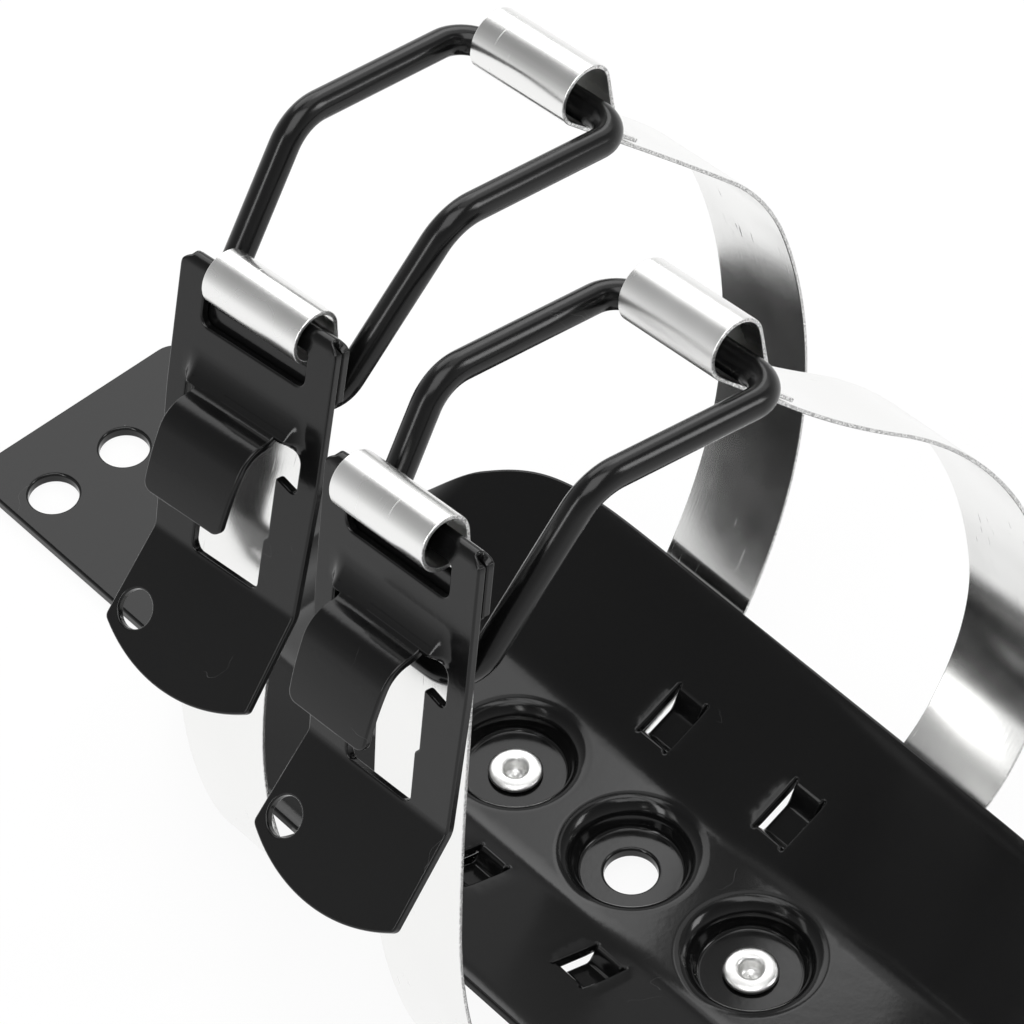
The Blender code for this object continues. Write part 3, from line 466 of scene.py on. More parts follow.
for x in columns:
    for y in rows:
        if abs(x) < 19 * MM and y < 57 * MM:
            continue
        grid += [(side_x * x, side_y * y) for side_x in ((1, -1) if x > 0 else (1,))
                 for side_y in ((1, -1) if y > 0 else (1,))]
for side_x in (-1, 1):
    for side_y in (-1, 1):
        for along in np.arange(-7.0, 7.1, 0.4) * MM:
            for across in np.arange(-6.0, 6.1, 0.8) * MM:
                grid.append((side_x * louvre_x + along, side_y * louvre_y + across))
for centre in (-dimple_pitch, 0.0, dimple_pitch):
    for r in np.concatenate([np.arange(7.5, 11.0, 1.1), np.arange(11.0, 17.9, 0.32), [18.4]]) * MM:
        grid += circle(0.0, centre, r, 96)
    for x in np.arange(-19, 20, 2.0) * MM:
        for y in np.arange(-19, 19.1, 2.0) * MM:
            if math.hypot(x, y) > 18.9 * MM:
                grid.append((x, centre + y))
back_plate = pressed_sheet("pressed_back_plate", plate_outline, plate_holes, grid, plate_face, plate_t,
                           plate_edge_r)


def blank_material(name):
    """A material with one Principled shader; returns it with its node maker, linker and shader."""
    made = bpy.data.materials.new(name)
    made.use_nodes = True
    made.node_tree.nodes.clear()
    shader = made.node_tree.nodes.new("ShaderNodeBsdfPrincipled")
    end = made.node_tree.nodes.new("ShaderNodeOutputMaterial")
    made.node_tree.links.new(shader.outputs[0], end.inputs["Surface"])
    return made, made.node_tree.nodes.new, made.node_tree.links.new, shader


def noise(add, wire, source, scale, detail=2.0, rough=0.5):
    made = add("ShaderNodeTexNoise")
    made.inputs["Scale"].default_value = scale
    made.inputs["Detail"].default_value = detail
    made.inputs["Roughness"].default_value = rough
    wire(source, made.inputs["Vector"])
    return made.outputs["Fac"]


def remap(add, wire, source, low, high, to_low=0.0, to_high=1.0):
    """Stretch a range of values to another one, and hold it at its ends."""
    made = add("ShaderNodeMapRange")
    for name, value in (("From Min", low), ("From Max", high), ("To Min", to_low), ("To Max", to_high)):
        made.inputs[name].default_value = value
    wire(source, made.inputs["Value"])
    return made.outputs["Result"]


def maths(add, wire, how, first, second=0.0):
    """One sum of two values, each a number or a socket."""
    made = add("ShaderNodeMath")
    made.operation = how
    for slot, value in zip(made.inputs, (first, second)):
        if isinstance(value, (int, float)):
            slot.default_value = value
        else:
            wire(value, slot)
    return made.outputs[0]


# The coat's skin: a faint orange peel, settled dust specks and a few hair scratches
coat_skin = bpy.data.node_groups.new("powder coat skin", "ShaderNodeTree")
for label in ("Dust", "Scuffs", "Roughness", "Height"):
    coat_skin.interface.new_socket(label, in_out="OUTPUT", socket_type="NodeSocketFloat")
add, wire = coat_skin.nodes.new, coat_skin.links.new
result = add("NodeGroupOutput")
at = add("ShaderNodeTexCoord").outputs["Object"]
peel = noise(add, wire, at, 900.0, 1.5)
waves = noise(add, wire, at, 160.0, 2.0)
specks = add("ShaderNodeTexVoronoi")
specks.inputs["Scale"].default_value = 210.0
specks.inputs["Randomness"].default_value = 1.0
wire(at, specks.inputs["Vector"])
near = remap(add, wire, specks.outputs["Distance"], 0.045, 0.028)
split = add("ShaderNodeSeparateColor")
wire(specks.outputs["Color"], split.inputs["Color"])
chosen = remap(add, wire, split.outputs["Red"], 0.955, 0.965)
dust = maths(add, wire, "MULTIPLY", near, chosen)
bands = add("ShaderNodeTexNoise")
bands.inputs["Scale"].default_value = 42.0
bands.inputs["Detail"].default_value = 3.0
bands.inputs["Distortion"].default_value = 0.9
wire(at, bands.inputs["Vector"])
line = maths(add, wire, "ABSOLUTE", maths(add, wire, "SUBTRACT", bands.outputs["Fac"], 0.5))
hair = remap(add, wire, line, 0.0011, 0.0004)
here = remap(add, wire, noise(add, wire, at, 55.0, 0.0), 0.69, 0.71)
scuffs = maths(add, wire, "MULTIPLY", hair, here)
rough = remap(add, wire, noise(add, wire, at, 30.0, 4.0), 0.3, 0.7)
height = maths(add, wire, "ADD", maths(add, wire, "MULTIPLY", peel, 0.35), waves)
wire(dust, result.inputs["Dust"])
wire(scuffs, result.inputs["Scuffs"])
wire(rough, result.inputs["Roughness"])
wire(height, result.inputs["Height"])


coat_black, coat_dust = (0.0042, 0.0042, 0.0043, 1.0), (0.14, 0.14, 0.14, 1.0)


def black_coat(name, low_rough, high_rough, peel):
    """Gloss black powder coat between two roughnesses, with its orange peel at the given strength."""
    made, add, wire, shader = blank_material(name)
    shader.inputs["Specular IOR Level"].default_value = 0.32
    skin = add("ShaderNodeGroup")
    skin.node_tree = coat_skin
    scuffs = maths(add, wire, "MULTIPLY", skin.outputs["Scuffs"], 0.5)
    marks = maths(add, wire, "MAXIMUM", skin.outputs["Dust"], scuffs)
    colour = add("ShaderNodeMix")
    colour.data_type = "RGBA"
    colour.inputs["A"].default_value = coat_black
    colour.inputs["B"].default_value = coat_dust
    wire(marks, colour.inputs["Factor"])
    wire(colour.outputs["Result"], shader.inputs["Base Color"])
    rough = remap(add, wire, skin.outputs["Roughness"], 0.0, 1.0, low_rough, high_rough)
    wire(rough, shader.inputs["Roughness"])
    bump = add("ShaderNodeBump")
    bump.inputs["Strength"].default_value = peel
    bump.inputs["Distance"].default_value = 0.4 * MM
    wire(skin.outputs["Height"], bump.inputs["Height"])
    wire(bump.outputs["Normal"], shader.inputs["Normal"])
    return made


back_plate.data.materials.append(black_coat("plate coat", 0.11, 0.16, 0.05))
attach(back_plate, "bracket")
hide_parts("back_plate")

# Straps. Each is one 25 mm band of bright plated spring steel, riveted by its middle behind the plate.
# It rises round the cylinder's place and ends in two rolled eyes, one closed and one drawn to a teardrop.
# Each side is given from its rivet outwards, as the length and the turn in degrees of tangent arcs.
strap_t, strap_half, strap_seat, turn_full = 0.9 * MM, 12.5 * MM, 2.25 * MM, 190.0 * MM
strap_hole_r, strap_corner, strap_edge_r, roll_gap = 3.2 * MM, 0.6 * MM, 0.25 * MM, 0.3 * MM
lever_eye_r, lever_eye_roll = 5.3 * MM, 300.0
bail_eye_r, bail_eye_roll, tail_r, tail_length = 6.15 * MM, 217.0, 3.0 * MM, 7.0 * MM
under_plate = ((0.012, 0.0), (0.008, 25.0), (0.038, 0.0))
straps = {
    "1": {"y": dimple_pitch, "turn": math.radians(3.2), "tilt": math.radians(-2.2), "lean": -1.0 * MM,
          "right": ((.0062, 34.5), (.0662, 30.5), (.0495, 19.0), (.0326, 24.0), (.0386, 1.0), (.0280, 0.0)),
          "left": ((.0084, 24.0), (.0303, 24.5), (.0610, 22.5), (.0470, 17.5), (.0492, -22.0))},
    "2": {"y": -dimple_pitch, "turn": 0.0, "tilt": math.radians(-6.3), "lean": 5.2 * MM,
          "right": ((.0182, 30.5), (.0402, 41.5), (.0518, 20.5), (.0566, 21.5), (.0392, -6.5), (.0280, 0.0)),
          "left": ((.0225, 26.5), (.0302, 24.0), (.0527, 18.0), (.0464, 3.0), (.0582, -3.5))}}


def side_line(segments, lengths, seat=strap_seat):
    """Points and headings at the given lengths along tangent arcs of (length, turn in degrees)."""
    place, heading, start = np.array([0.0, seat]), 0.0, 0.0
    points = np.zeros((len(lengths), 2))
    headings = np.zeros(len(lengths))
    for index, (length, degrees) in enumerate(segments):
        bend = math.radians(degrees)
        last = index == len(segments) - 1
        here = (lengths >= start) if last else (lengths >= start) & (lengths < start + length)
        run = lengths[here] - start

        def ahead(run):
            way = heading + bend * run / length
            if abs(bend) < 1e-9:
                return place + np.stack([np.cos(heading) * run, np.sin(heading) * run], axis=-1), way
            chord = np.stack([np.sin(way) - np.sin(heading), np.cos(heading) - np.cos(way)], axis=-1)
            return place + length / bend * chord, way

        points[here], headings[here] = ahead(run)
        place, _ = ahead(np.float64(length))
        heading += bend
        start += length
    return points, headings


def strap_space(strap, out, across, up):
    """The strap twists and leans as it rises, then runs true beside its latch."""
    share = np.clip(up / turn_full, 0.0, 1.0)
    over = np.maximum(0.0, up - turn_full)
    tilt, turn = strap["tilt"] * share, strap["turn"] * share
    y = across * np.cos(tilt) - over * np.sin(tilt)
    z = across * np.sin(tilt) + over * np.cos(tilt)
    return np.stack([out * np.cos(turn) - y * np.sin(turn),
                     strap["y"] + strap["lean"] * share + out * np.sin(turn) + y * np.cos(turn),
                     up - over + z], axis=1)


def strap_face(strap, right, left):
    """Take pattern points (across, along) to the strap's inner face."""
    def lay(points, lift):
        along = points[:, 1]
        place = np.zeros((len(points), 2))
        heading = np.zeros(len(points))
        ahead = along >= 0
        place[ahead], heading[ahead] = side_line(right, along[ahead])
        place[~ahead], heading[~ahead] = side_line(left, -along[~ahead])
        out = place[:, 0] - np.sin(heading) * lift
        up = place[:, 1] + np.cos(heading) * lift
        return strap_space(strap, np.where(ahead, out, -out), points[:, 0], up)

    def face(points):
        step = 0.02 * MM
        place = lay(points, strap_t / 2)
        normal = place - lay(points, -strap_t / 2)
        normal /= np.linalg.norm(normal, axis=1, keepdims=True)
        du = lay(points + [step, 0], strap_t / 2) - lay(points - [step, 0], strap_t / 2)
        dv = lay(points + [0, step], strap_t / 2) - lay(points - [0, step], strap_t / 2)
        true = np.cross(du, dv)
        true /= np.linalg.norm(true, axis=1, keepdims=True)
        true *= np.sign((true * normal).sum(axis=1, keepdims=True))
        return place, true, -normal
    return face


def band_rows(segments):
    """Where a band needs rows: a few degrees apart in its bends, wider apart where it runs straight."""
    rows, start = [], 0.0
    for length, degrees in segments:
        pieces = max(math.ceil(abs(degrees) / 4.0), math.ceil(length / (2.5 * MM)))
        rows += [start + length * i / pieces for i in range(pieces)]
        start += length
    return rows, start


plated, add, wire, shader = blank_material("bright plating")
shader.inputs["Metallic"].default_value = 1.0
at = add("ShaderNodeTexCoord")
pattern = add("ShaderNodeUVMap")
pattern.uv_map = "pattern"
drawn = add("ShaderNodeMapping")
drawn.inputs["Scale"].default_value = (1.0, 0.035, 1.0)
wire(pattern.outputs["UV"], drawn.inputs["Vector"])
streaks = noise(add, wire, drawn.outputs["Vector"], 1500.0, 3.0, 0.6)
cloud = noise(add, wire, at.outputs["Object"], 45.0, 4.0)
slanted = add("ShaderNodeMapping")
slanted.inputs["Rotation"].default_value = (0.0, 0.0, math.radians(38))
slanted.inputs["Scale"].default_value = (1.0, 0.06, 1.0)
wire(pattern.outputs["UV"], slanted.inputs["Vector"])
hatch = noise(add, wire, slanted.outputs["Vector"], 1500.0, 1.0)
scored = maths(add, wire, "MULTIPLY", remap(add, wire, hatch, 0.68, 0.74),
               remap(add, wire, noise(add, wire, at.outputs["Object"], 60.0, 1.0), 0.54, 0.62))
split = add("ShaderNodeSeparateXYZ")
wire(pattern.outputs["UV"], split.inputs["Vector"])
aside = maths(add, wire, "ABSOLUTE", split.outputs["X"])
sheared = remap(add, wire, aside, strap_half - 0.14 * MM, strap_half - 0.04 * MM)
grit = noise(add, wire, at.outputs["Object"], 2600.0, 2.0, 0.7)
torn = maths(add, wire, "MULTIPLY", sheared, remap(add, wire, grit, 0.35, 0.6))
colour = add("ShaderNodeMix")
colour.data_type = "RGBA"
colour.inputs["A"].default_value = (0.90, 0.90, 0.89, 1.0)
colour.inputs["B"].default_value = (0.34, 0.34, 0.34, 1.0)
wire(torn, colour.inputs["Factor"])
wire(colour.outputs["Result"], shader.inputs["Base Color"])
# The rolling of the eyes, at both ends of the pattern, leaves them more satin than the flat of the band
rolled = maths(add, wire, "MAXIMUM", remap(add, wire, split.outputs["Y"], 0.286, 0.296),
               remap(add, wire, split.outputs["Y"], -0.256, -0.266))
rough = maths(add, wire, "ADD", remap(add, wire, cloud, 0.3, 0.7, 0.13, 0.21),
              maths(add, wire, "MULTIPLY", rolled, 0.11))
marks = maths(add, wire, "MULTIPLY", maths(add, wire, "MAXIMUM", scored, torn), 0.25)
wire(maths(add, wire, "ADD", rough, marks), shader.inputs["Roughness"])
bump = add("ShaderNodeBump")
bump.inputs["Strength"].default_value = 0.12
bump.inputs["Distance"].default_value = 0.2 * MM
height = maths(add, wire, "ADD", maths(add, wire, "MULTIPLY", streaks, 0.3),
               maths(add, wire, "MULTIPLY", torn, 2.5))
wire(maths(add, wire, "SUBTRACT", height, scored), bump.inputs["Height"])
wire(bump.outputs["Normal"], shader.inputs["Normal"])


def end_corner(side, end, onward):
    """The small round from a strap's long edge to its cut end, or the other way where onward is false."""
    turns = np.linspace(0, math.pi / 2, 6)
    inward = [(strap_corner * (1 - math.cos(a)), strap_corner * (1 - math.sin(a))) for a in turns]
    if not onward:
        inward.reverse()
    return [(side * (strap_half - x), end - math.copysign(y, end)) for x, y in inward]


for number, strap in straps.items():
    over = math.radians(bail_eye_roll - 180.0)
    drop = bail_eye_r * (1 + math.cos(over)) - strap_t - roll_gap - tail_r * (1 - math.cos(over))
    teardrop = ((math.radians(bail_eye_roll) * bail_eye_r, -bail_eye_roll), (drop / math.sin(over), 0.0),
                (tail_r * over, math.degrees(over)), (tail_length, 0.0))
    closed_eye = ((math.radians(lever_eye_roll) * lever_eye_r, -lever_eye_roll),)
    right_way = under_plate + strap["right"] + teardrop
    left_way = under_plate + strap["left"] + closed_eye
    ahead, ahead_end = band_rows(right_way)
    behind, behind_end = band_rows(left_way)
    rows = [-v for v in reversed(behind[1:])] + ahead
    edge_rows = [v for v in rows if -behind_end + 0.7 * MM < v < ahead_end - 0.7 * MM]
    ends = np.arange(-10.8, 10.9, 0.8) * MM
    outline = [(strap_half, v) for v in edge_rows] + end_corner(1, ahead_end, True)
    outline += [(-x, ahead_end) for x in ends] + end_corner(-1, ahead_end, False)
    outline += [(-strap_half, v) for v in reversed(edge_rows)] + end_corner(-1, -behind_end, True)
    outline += [(x, -behind_end) for x in ends] + end_corner(1, -behind_end, False)
    columns = np.array([-11.7, -10.2, -8.0, -5.5, -2.8, 0.0, 2.8, 5.5, 8.0, 10.2, 11.7]) * MM
    inner = [(u, v) for u in columns for v in rows]
    item = pressed_sheet(f"rolled_strap_{number}", outline, [circle(0.0, 0.0, strap_hole_r, 40)], inner,
                         strap_face(strap, right_way, left_way), strap_t, strap_edge_r)
    item.data.materials.append(plated)
    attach(item, "bracket")
    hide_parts(f"strap_{number}")

# Rivets. A hollow plated rivet holds each strap, its rolled head in a dimple and its small tail behind.
# They are turned from one profile and set at the two places where the straps cross the plate.
# The profile runs from the tail's end round the flange and head, as radius and height in millimetres.
rivet_profile = (
    (0.03, 0.9), (1.9, 0.8), (2.35, 0.62), (2.7, 0.42), (3.6, 0.36), (4.3, 0.42), (4.6, 0.75), (4.6, 1.1),
    (4.3, 1.42), (2.9, 1.46), (2.85, 3.6), (2.9, 6.28), (5.6, 6.30), (6.02, 6.42), (6.2, 6.72), (6.12, 7.08),
    (5.75, 7.42), (5.1, 7.64), (4.3, 7.76), (3.6, 7.78), (3.1, 7.70), (2.72, 7.45), (2.5, 7.05), (2.38, 6.4),
    (2.3, 5.2), (2.0, 4.75), (1.2, 4.5), (0.03, 4.45))
rivet_pitch, turning_r = 2 * dimple_pitch, 3.0 * MM
profile = bpy.data.objects.new("rivet profile", bpy.data.curves.new("rivet profile", "CURVE"))
profile.data.dimensions = "3D"
line = profile.data.splines.new("POLY")
line.points.add(len(rivet_profile) - 1)
for point, (radius, height) in zip(line.points, reversed(rivet_profile)):
    point.co = (radius * MM - turning_r, -height * MM, 0.0, 1.0)
line.use_cyclic_u = True
bpy.context.scene.collection.objects.link(profile)


def node_tree(name, inputs):
    """A geometry node group with the named inputs and one geometry output."""
    made = bpy.data.node_groups.new(name, "GeometryNodeTree")
    made.interface.new_socket("Geometry", in_out="INPUT", socket_type="NodeSocketGeometry")
    keys = {}
    for label, kind in inputs:
        keys[label] = made.interface.new_socket(label, in_out="INPUT", socket_type=kind).identifier
    made.interface.new_socket("Geometry", in_out="OUTPUT", socket_type="NodeSocketGeometry")
    return made, keys, made.nodes.new("NodeGroupInput"), made.nodes.new("NodeGroupOutput")


def freeze(host, made, keys, values, name):
    """Run a node group on its host and keep the result as a plain mesh object."""
    modifier = host.modifiers.new("nodes", "NODES")
    modifier.node_group = made
    for label, value in values.items():
        modifier[keys[label]] = value
    seen = bpy.context.evaluated_depsgraph_get()
    seen.update()
    mesh = bpy.data.meshes.new_from_object(host.evaluated_get(seen), depsgraph=seen)
    mesh.name = name
    host.modifiers.clear()
    item = bpy.data.objects.new(name, mesh)
    bpy.context.scene.collection.objects.link(item)
    return item


def empty_mesh(name):
    """An object with an empty mesh, for a node group to fill."""
    item = bpy.data.objects.new(name, bpy.data.meshes.new(name))
    bpy.context.scene.collection.objects.link(item)
    return item


turning, keys, given, result = node_tree("turned rivets", (
    ("Profile", "NodeSocketObject"), ("Pitch", "NodeSocketFloat"), ("Turning Radius", "NodeSocketFloat"),
    ("Metal", "NodeSocketMaterial")))
add, wire = turning.nodes.new, turning.links.new
section = add("GeometryNodeObjectInfo")
ring = add("GeometryNodeCurvePrimitiveCircle")
ring.inputs["Resolution"].default_value = 96
turned = add("GeometryNodeCurveToMesh")
smooth = add("GeometryNodeSetShadeSmooth")
half = add("ShaderNodeMath")
half.operation = "MULTIPLY"
half.inputs[1].default_value = -0.5
first = add("ShaderNodeCombineXYZ")
stride = add("ShaderNodeCombineXYZ")
places = add("GeometryNodeMeshLine")
places.inputs["Count"].default_value = 2
copies = add("GeometryNodeInstanceOnPoints")
real = add("GeometryNodeRealizeInstances")
finish = add("GeometryNodeSetMaterial")
wire(given.outputs["Profile"], section.inputs["Object"])
wire(given.outputs["Turning Radius"], ring.inputs["Radius"])
wire(ring.outputs["Curve"], turned.inputs["Curve"])
wire(section.outputs["Geometry"], turned.inputs["Profile Curve"])
wire(turned.outputs["Mesh"], smooth.inputs["Geometry"])
wire(given.outputs["Pitch"], half.inputs[0])
wire(half.outputs[0], first.inputs["Y"])
wire(given.outputs["Pitch"], stride.inputs["Y"])
wire(first.outputs[0], places.inputs["Start Location"])
wire(stride.outputs[0], places.inputs["Offset"])
wire(places.outputs["Mesh"], copies.inputs["Points"])
wire(smooth.outputs["Geometry"], copies.inputs["Instance"])
wire(copies.outputs["Instances"], real.inputs["Geometry"])
wire(real.outputs["Geometry"], finish.inputs["Geometry"])
wire(given.outputs["Metal"], finish.inputs["Material"])
wire(finish.outputs["Geometry"], result.inputs["Geometry"])

satin, add, wire, shader = blank_material("satin rivet plating")
shader.inputs["Metallic"].default_value = 1.0
at = add("ShaderNodeTexCoord").outputs["Object"]
colour = add("ShaderNodeMix")
colour.data_type = "RGBA"
colour.inputs["A"].default_value = (0.74, 0.74, 0.73, 1.0)
colour.inputs["B"].default_value = (0.84, 0.84, 0.83, 1.0)
mottle = noise(add, wire, at, 700.0, 3.0)
wire(remap(add, wire, mottle, 0.35, 0.65), colour.inputs["Factor"])
wire(colour.outputs["Result"], shader.inputs["Base Color"])
wire(remap(add, wire, mottle, 0.3, 0.7, 0.30, 0.38), shader.inputs["Roughness"])
bump = add("ShaderNodeBump")
bump.inputs["Strength"].default_value = 0.05
bump.inputs["Distance"].default_value = 0.1 * MM
wire(noise(add, wire, at, 1800.0, 2.0), bump.inputs["Height"])
wire(bump.outputs["Normal"], shader.inputs["Normal"])
host = empty_mesh("rivet host")
rivets = freeze(host, turning, keys, {"Profile": profile, "Pitch": rivet_pitch, "Turning Radius": turning_r,
                                      "Metal": satin}, "hollow_rivets")
for spare in (host, profile):
    bpy.data.objects.remove(spare, do_unlink=True)
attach(rivets, "bracket")
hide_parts("rivet_1", "rivet_2")

# Levers. Each is stamped from 2 mm steel, folded over at the top to make its hinge bar, with a slot for the
# strap's eye, a hook pressed out of a stepped window, and a handle bent away from the strap.
# Sizes run down from the hinge bar. The second ply behind the bar has a slot of its own.
lever_t, lever_edge_r = 1.95 * MM, 0.5 * MM
lever_half, neck_half, handle_half = 20.9 * MM, 19.4 * MM, 20.0 * MM
fold_height, fold_r, ear_corner, ear_least, side_end = 0.4 * MM, 2.0 * MM, 3.0 * MM, 0.9 * MM, 11.6 * MM
fold_reach, fold_top, ply_low, ply_corner = math.pi * fold_r / 2, fold_height + fold_r, 11.8 * MM, 1.2 * MM
slot_half, slot_top, slot_bottom = 13.8 * MM, 2.4 * MM, 10.6 * MM
ply_slot_top, ply_slot_low = 2.3 * MM, 6.7 * MM
notch_top, notch_low, notch_half, left_notch_drop = 22.1 * MM, 33.7 * MM, 15.6 * MM, 2.4 * MM
window_half, window_step, window_low_half, window_low = 10.0 * MM, 46.7 * MM, 8.9 * MM, 59.7 * MM
bend_at, bend_r, handle_length, handle_bulge = 60.0 * MM, 4.0 * MM, 21.0 * MM, 6.0 * MM
handle_hole_side, handle_hole_down, handle_hole_r = 14.2 * MM, 16.5 * MM, 4.0 * MM
swell_from, swell_out, swell_fade = 15.5 * MM, 3.0 * MM, 2.5 * MM
swell_half, swell_reach = 12.6 * MM, 16.4 * MM
hook_t, hook_half, hook_straight, hook_taper = 1.8 * MM, 10.9 * MM, 13.0 * MM, 0.5 * MM
hook_start, hook_out, hook_heading = 20.5 * MM, 1.5 * MM, math.radians(33)
hook_way = ((2.0 * MM, 9.0), (2.8 * MM, 36.0), (1.3 * MM, 0.0), (7.0 * MM, -58.0), (13.0 * MM, -13.0))
levers = {
    "1": {"angle": math.radians(16.5), "skew": math.radians(-2.0), "slack": (-.0010, .0003, .0003),
          "bend": math.radians(30.5)},
    "2": {"angle": math.radians(13.0), "skew": 0.0, "slack": (.0015, -.0009, -.0005),
          "bend": math.radians(35.0)}}
pivots = {joint["name"]: joint["pos_m"] for joint in frame["joints"]}


def hung(joint, number, angle):
    """The space of a piece that hangs in an eye of its strap, from the joint's place."""
    strap = straps[number]
    turned = Euler((strap["tilt"], angle, strap["turn"]), "YXZ").to_matrix().to_4x4()
    return Matrix.Translation(pivots[joint]) @ turned


def lever_space(number):
    """The lever hangs loosely on the strap's eye, a little off its centre and askew."""
    lever = levers[number]
    space = hung(f"lever_{number}_hinge", number, lever["angle"])
    return np.array(space @ Matrix.Translation(lever["slack"]) @ Matrix.Rotation(lever["skew"], 4, "X"))


def swell(across, down):
    """How far the panel above the hook is drawn out, with its slopes down and across."""
    def rise(across, down):
        ramp = np.clip((down - swell_from) / (notch_top - swell_from), 0.0, 1.3)
        ramp = ramp * np.clip(1.0 - (down - notch_top) / swell_fade, 0.0, 1.0)
        edge = np.clip((swell_reach - np.abs(across)) / (swell_reach - swell_half), 0.0, 1.0)
        return swell_out * ramp ** 2 * edge * edge * (3 - 2 * edge)
    step = 0.01 * MM
    along = (rise(across, down + step) - rise(across, down - step)) / (2 * step)
    aside = (rise(across + step, down) - rise(across - step, down)) / (2 * step)
    return rise(across, down), -along, -aside


def lever_face(number):
    """Take pattern points (across, down) to the lever's front, round its fold and its handle's bend."""
    space, handle_bend = lever_space(number), levers[number]["bend"]

    def face(points):
        across, down = points[:, 0], points[:, 1]
        x = np.full(len(points), -fold_r)
        z = -down
        nx, nz = np.full(len(points), -1.0), np.zeros(len(points))
        folded = -fold_height - down
        turn = np.clip(folded / fold_reach, 0.0, 1.0) * math.pi
        over = folded > 0
        x = np.where(over, -fold_r * np.cos(turn), x)
        z = np.where(over, fold_height + fold_r * np.sin(turn) - np.maximum(folded - fold_reach, 0.0), z)
        nx = np.where(over, -np.cos(turn), nx)
        nz = np.where(over, np.sin(turn), nz)
        start = bend_at - bend_r * handle_bend / 2
        depth = down - start
        bend = np.clip(depth / bend_r, 0.0, handle_bend)
        rest = depth - bend * bend_r
        low = depth > 0
        inner_r = bend_r - fold_r / 2
        x = np.where(low, -bend_r - fold_r / 2 + inner_r * np.cos(bend) - rest * np.sin(bend), x)
        z = np.where(low, -start - inner_r * np.sin(bend) - rest * np.cos(bend), z)
        nx = np.where(low, -np.cos(bend), nx)
        nz = np.where(low, np.sin(bend), nz)
        rise, along, aside = swell(across, down)
        normal = np.stack([nx, aside, nz - along], axis=1)
        normal /= np.linalg.norm(normal, axis=1, keepdims=True)
        place = np.stack([x - rise, across, z], axis=1) @ space[:3, :3].T + space[:3, 3]
        return place, normal @ space[:3, :3].T, -normal @ space[:3, :3].T
    return face


def hook_face(number):
    """Take pattern points (across, along) to the hook's outer face, from its root to its tip."""
    space = lever_space(number)

    def face(points):
        across, along = points[:, 0], points[:, 1]
        spot, heading = side_line(hook_way, along, 0.0)
        # The hook sets out down the lever, along the drawn panel, so its way is turned half round
        lead = math.cos(hook_heading), math.sin(hook_heading)
        spot = np.stack([-hook_start - spot[:, 0] * lead[0] + spot[:, 1] * lead[1],
                         -fold_r / 2 - hook_out - spot[:, 0] * lead[1] - spot[:, 1] * lead[0]], axis=1)
        heading = heading + hook_heading + math.pi
        normal = np.stack([np.cos(heading), np.zeros(len(points)), -np.sin(heading)], axis=1)
        place = np.stack([spot[:, 1], across, spot[:, 0]], axis=1) + normal * hook_t / 2
        return place @ space[:3, :3].T + space[:3, 3], normal @ space[:3, :3].T, -normal @ space[:3, :3].T
    return face


top_end = -(fold_height + fold_reach + fold_height + ply_low)
side = []
for down in np.concatenate([np.arange(top_end + ply_corner, -fold_height - fold_reach - 0.2 * MM, 0.5 * MM),
                            -fold_height - fold_reach * np.linspace(1, 0, 27)[:-1],
                            np.arange(-fold_height, 3.0 * MM, 0.4 * MM),
                            np.arange(3.0 * MM, side_end - 0.3 * MM, 0.8 * MM)]):
    folded, height = -fold_height - down, -down
    if folded > 0:
        height = fold_height + fold_r * math.sin(min(folded / fold_reach, 1.0) * math.pi)
        height -= max(0.0, folded - fold_reach)
    into = max(0.0, height - (fold_top - ear_corner))
    reach = math.sqrt(max(ear_corner ** 2 - into ** 2, ear_least ** 2))
    side.append((lever_half - ear_corner + reach, down))
top_corner = [(lever_half - ply_corner * (1 - math.cos(a)), top_end + ply_corner * (1 - math.sin(a)))
              for a in np.linspace(math.pi / 2, 0, 8)][:-1]
top_line = [(x, top_end) for x in np.arange(-lever_half + 2.0 * MM, lever_half - 1.9 * MM, 0.8 * MM)]
wide_at = (notch_top + notch_low) / 2
corner_down = bend_at + handle_length
arc_r = (handle_half ** 2 + handle_bulge ** 2) / (2 * handle_bulge)
open_angle = math.asin(handle_half / arc_r)
arc = [(arc_r * math.sin(a), corner_down + handle_bulge - arc_r + arc_r * math.cos(a))
       for a in np.linspace(open_angle, -open_angle, 33)]
shoulder = [(lever_half, side_end), (lever_half, wide_at), (neck_half, bend_at)]
shoulder_radii = [0.0, 80 * MM, 20 * MM, 1.6 * MM]
lower = round_outline(shoulder + arc + [(-x, y) for x, y in reversed(shoulder)],
                      shoulder_radii + [0.0] * (len(arc) - 2) + shoulder_radii[::-1], 0.9 * MM)
# The outline of the lower part would close across the lever, so it is cut off where its far side ends
cut = [i for i, (x, y) in enumerate(lower) if x < -lever_half + 1e-6 and y < side_end + 1e-6]
lower = lower[:cut[0] + 1]
right_side = top_corner + side
lever_outline = right_side + lower + [(-x, y) for x, y in reversed(right_side)] + top_line


def slot_loop(low, high, radii):
    """A slot across the lever, the width of the strap's eye."""
    corners = [(-slot_half, low), (slot_half, low), (slot_half, high), (-slot_half, high)]
    return round_outline(corners, radii, 0.5 * MM)


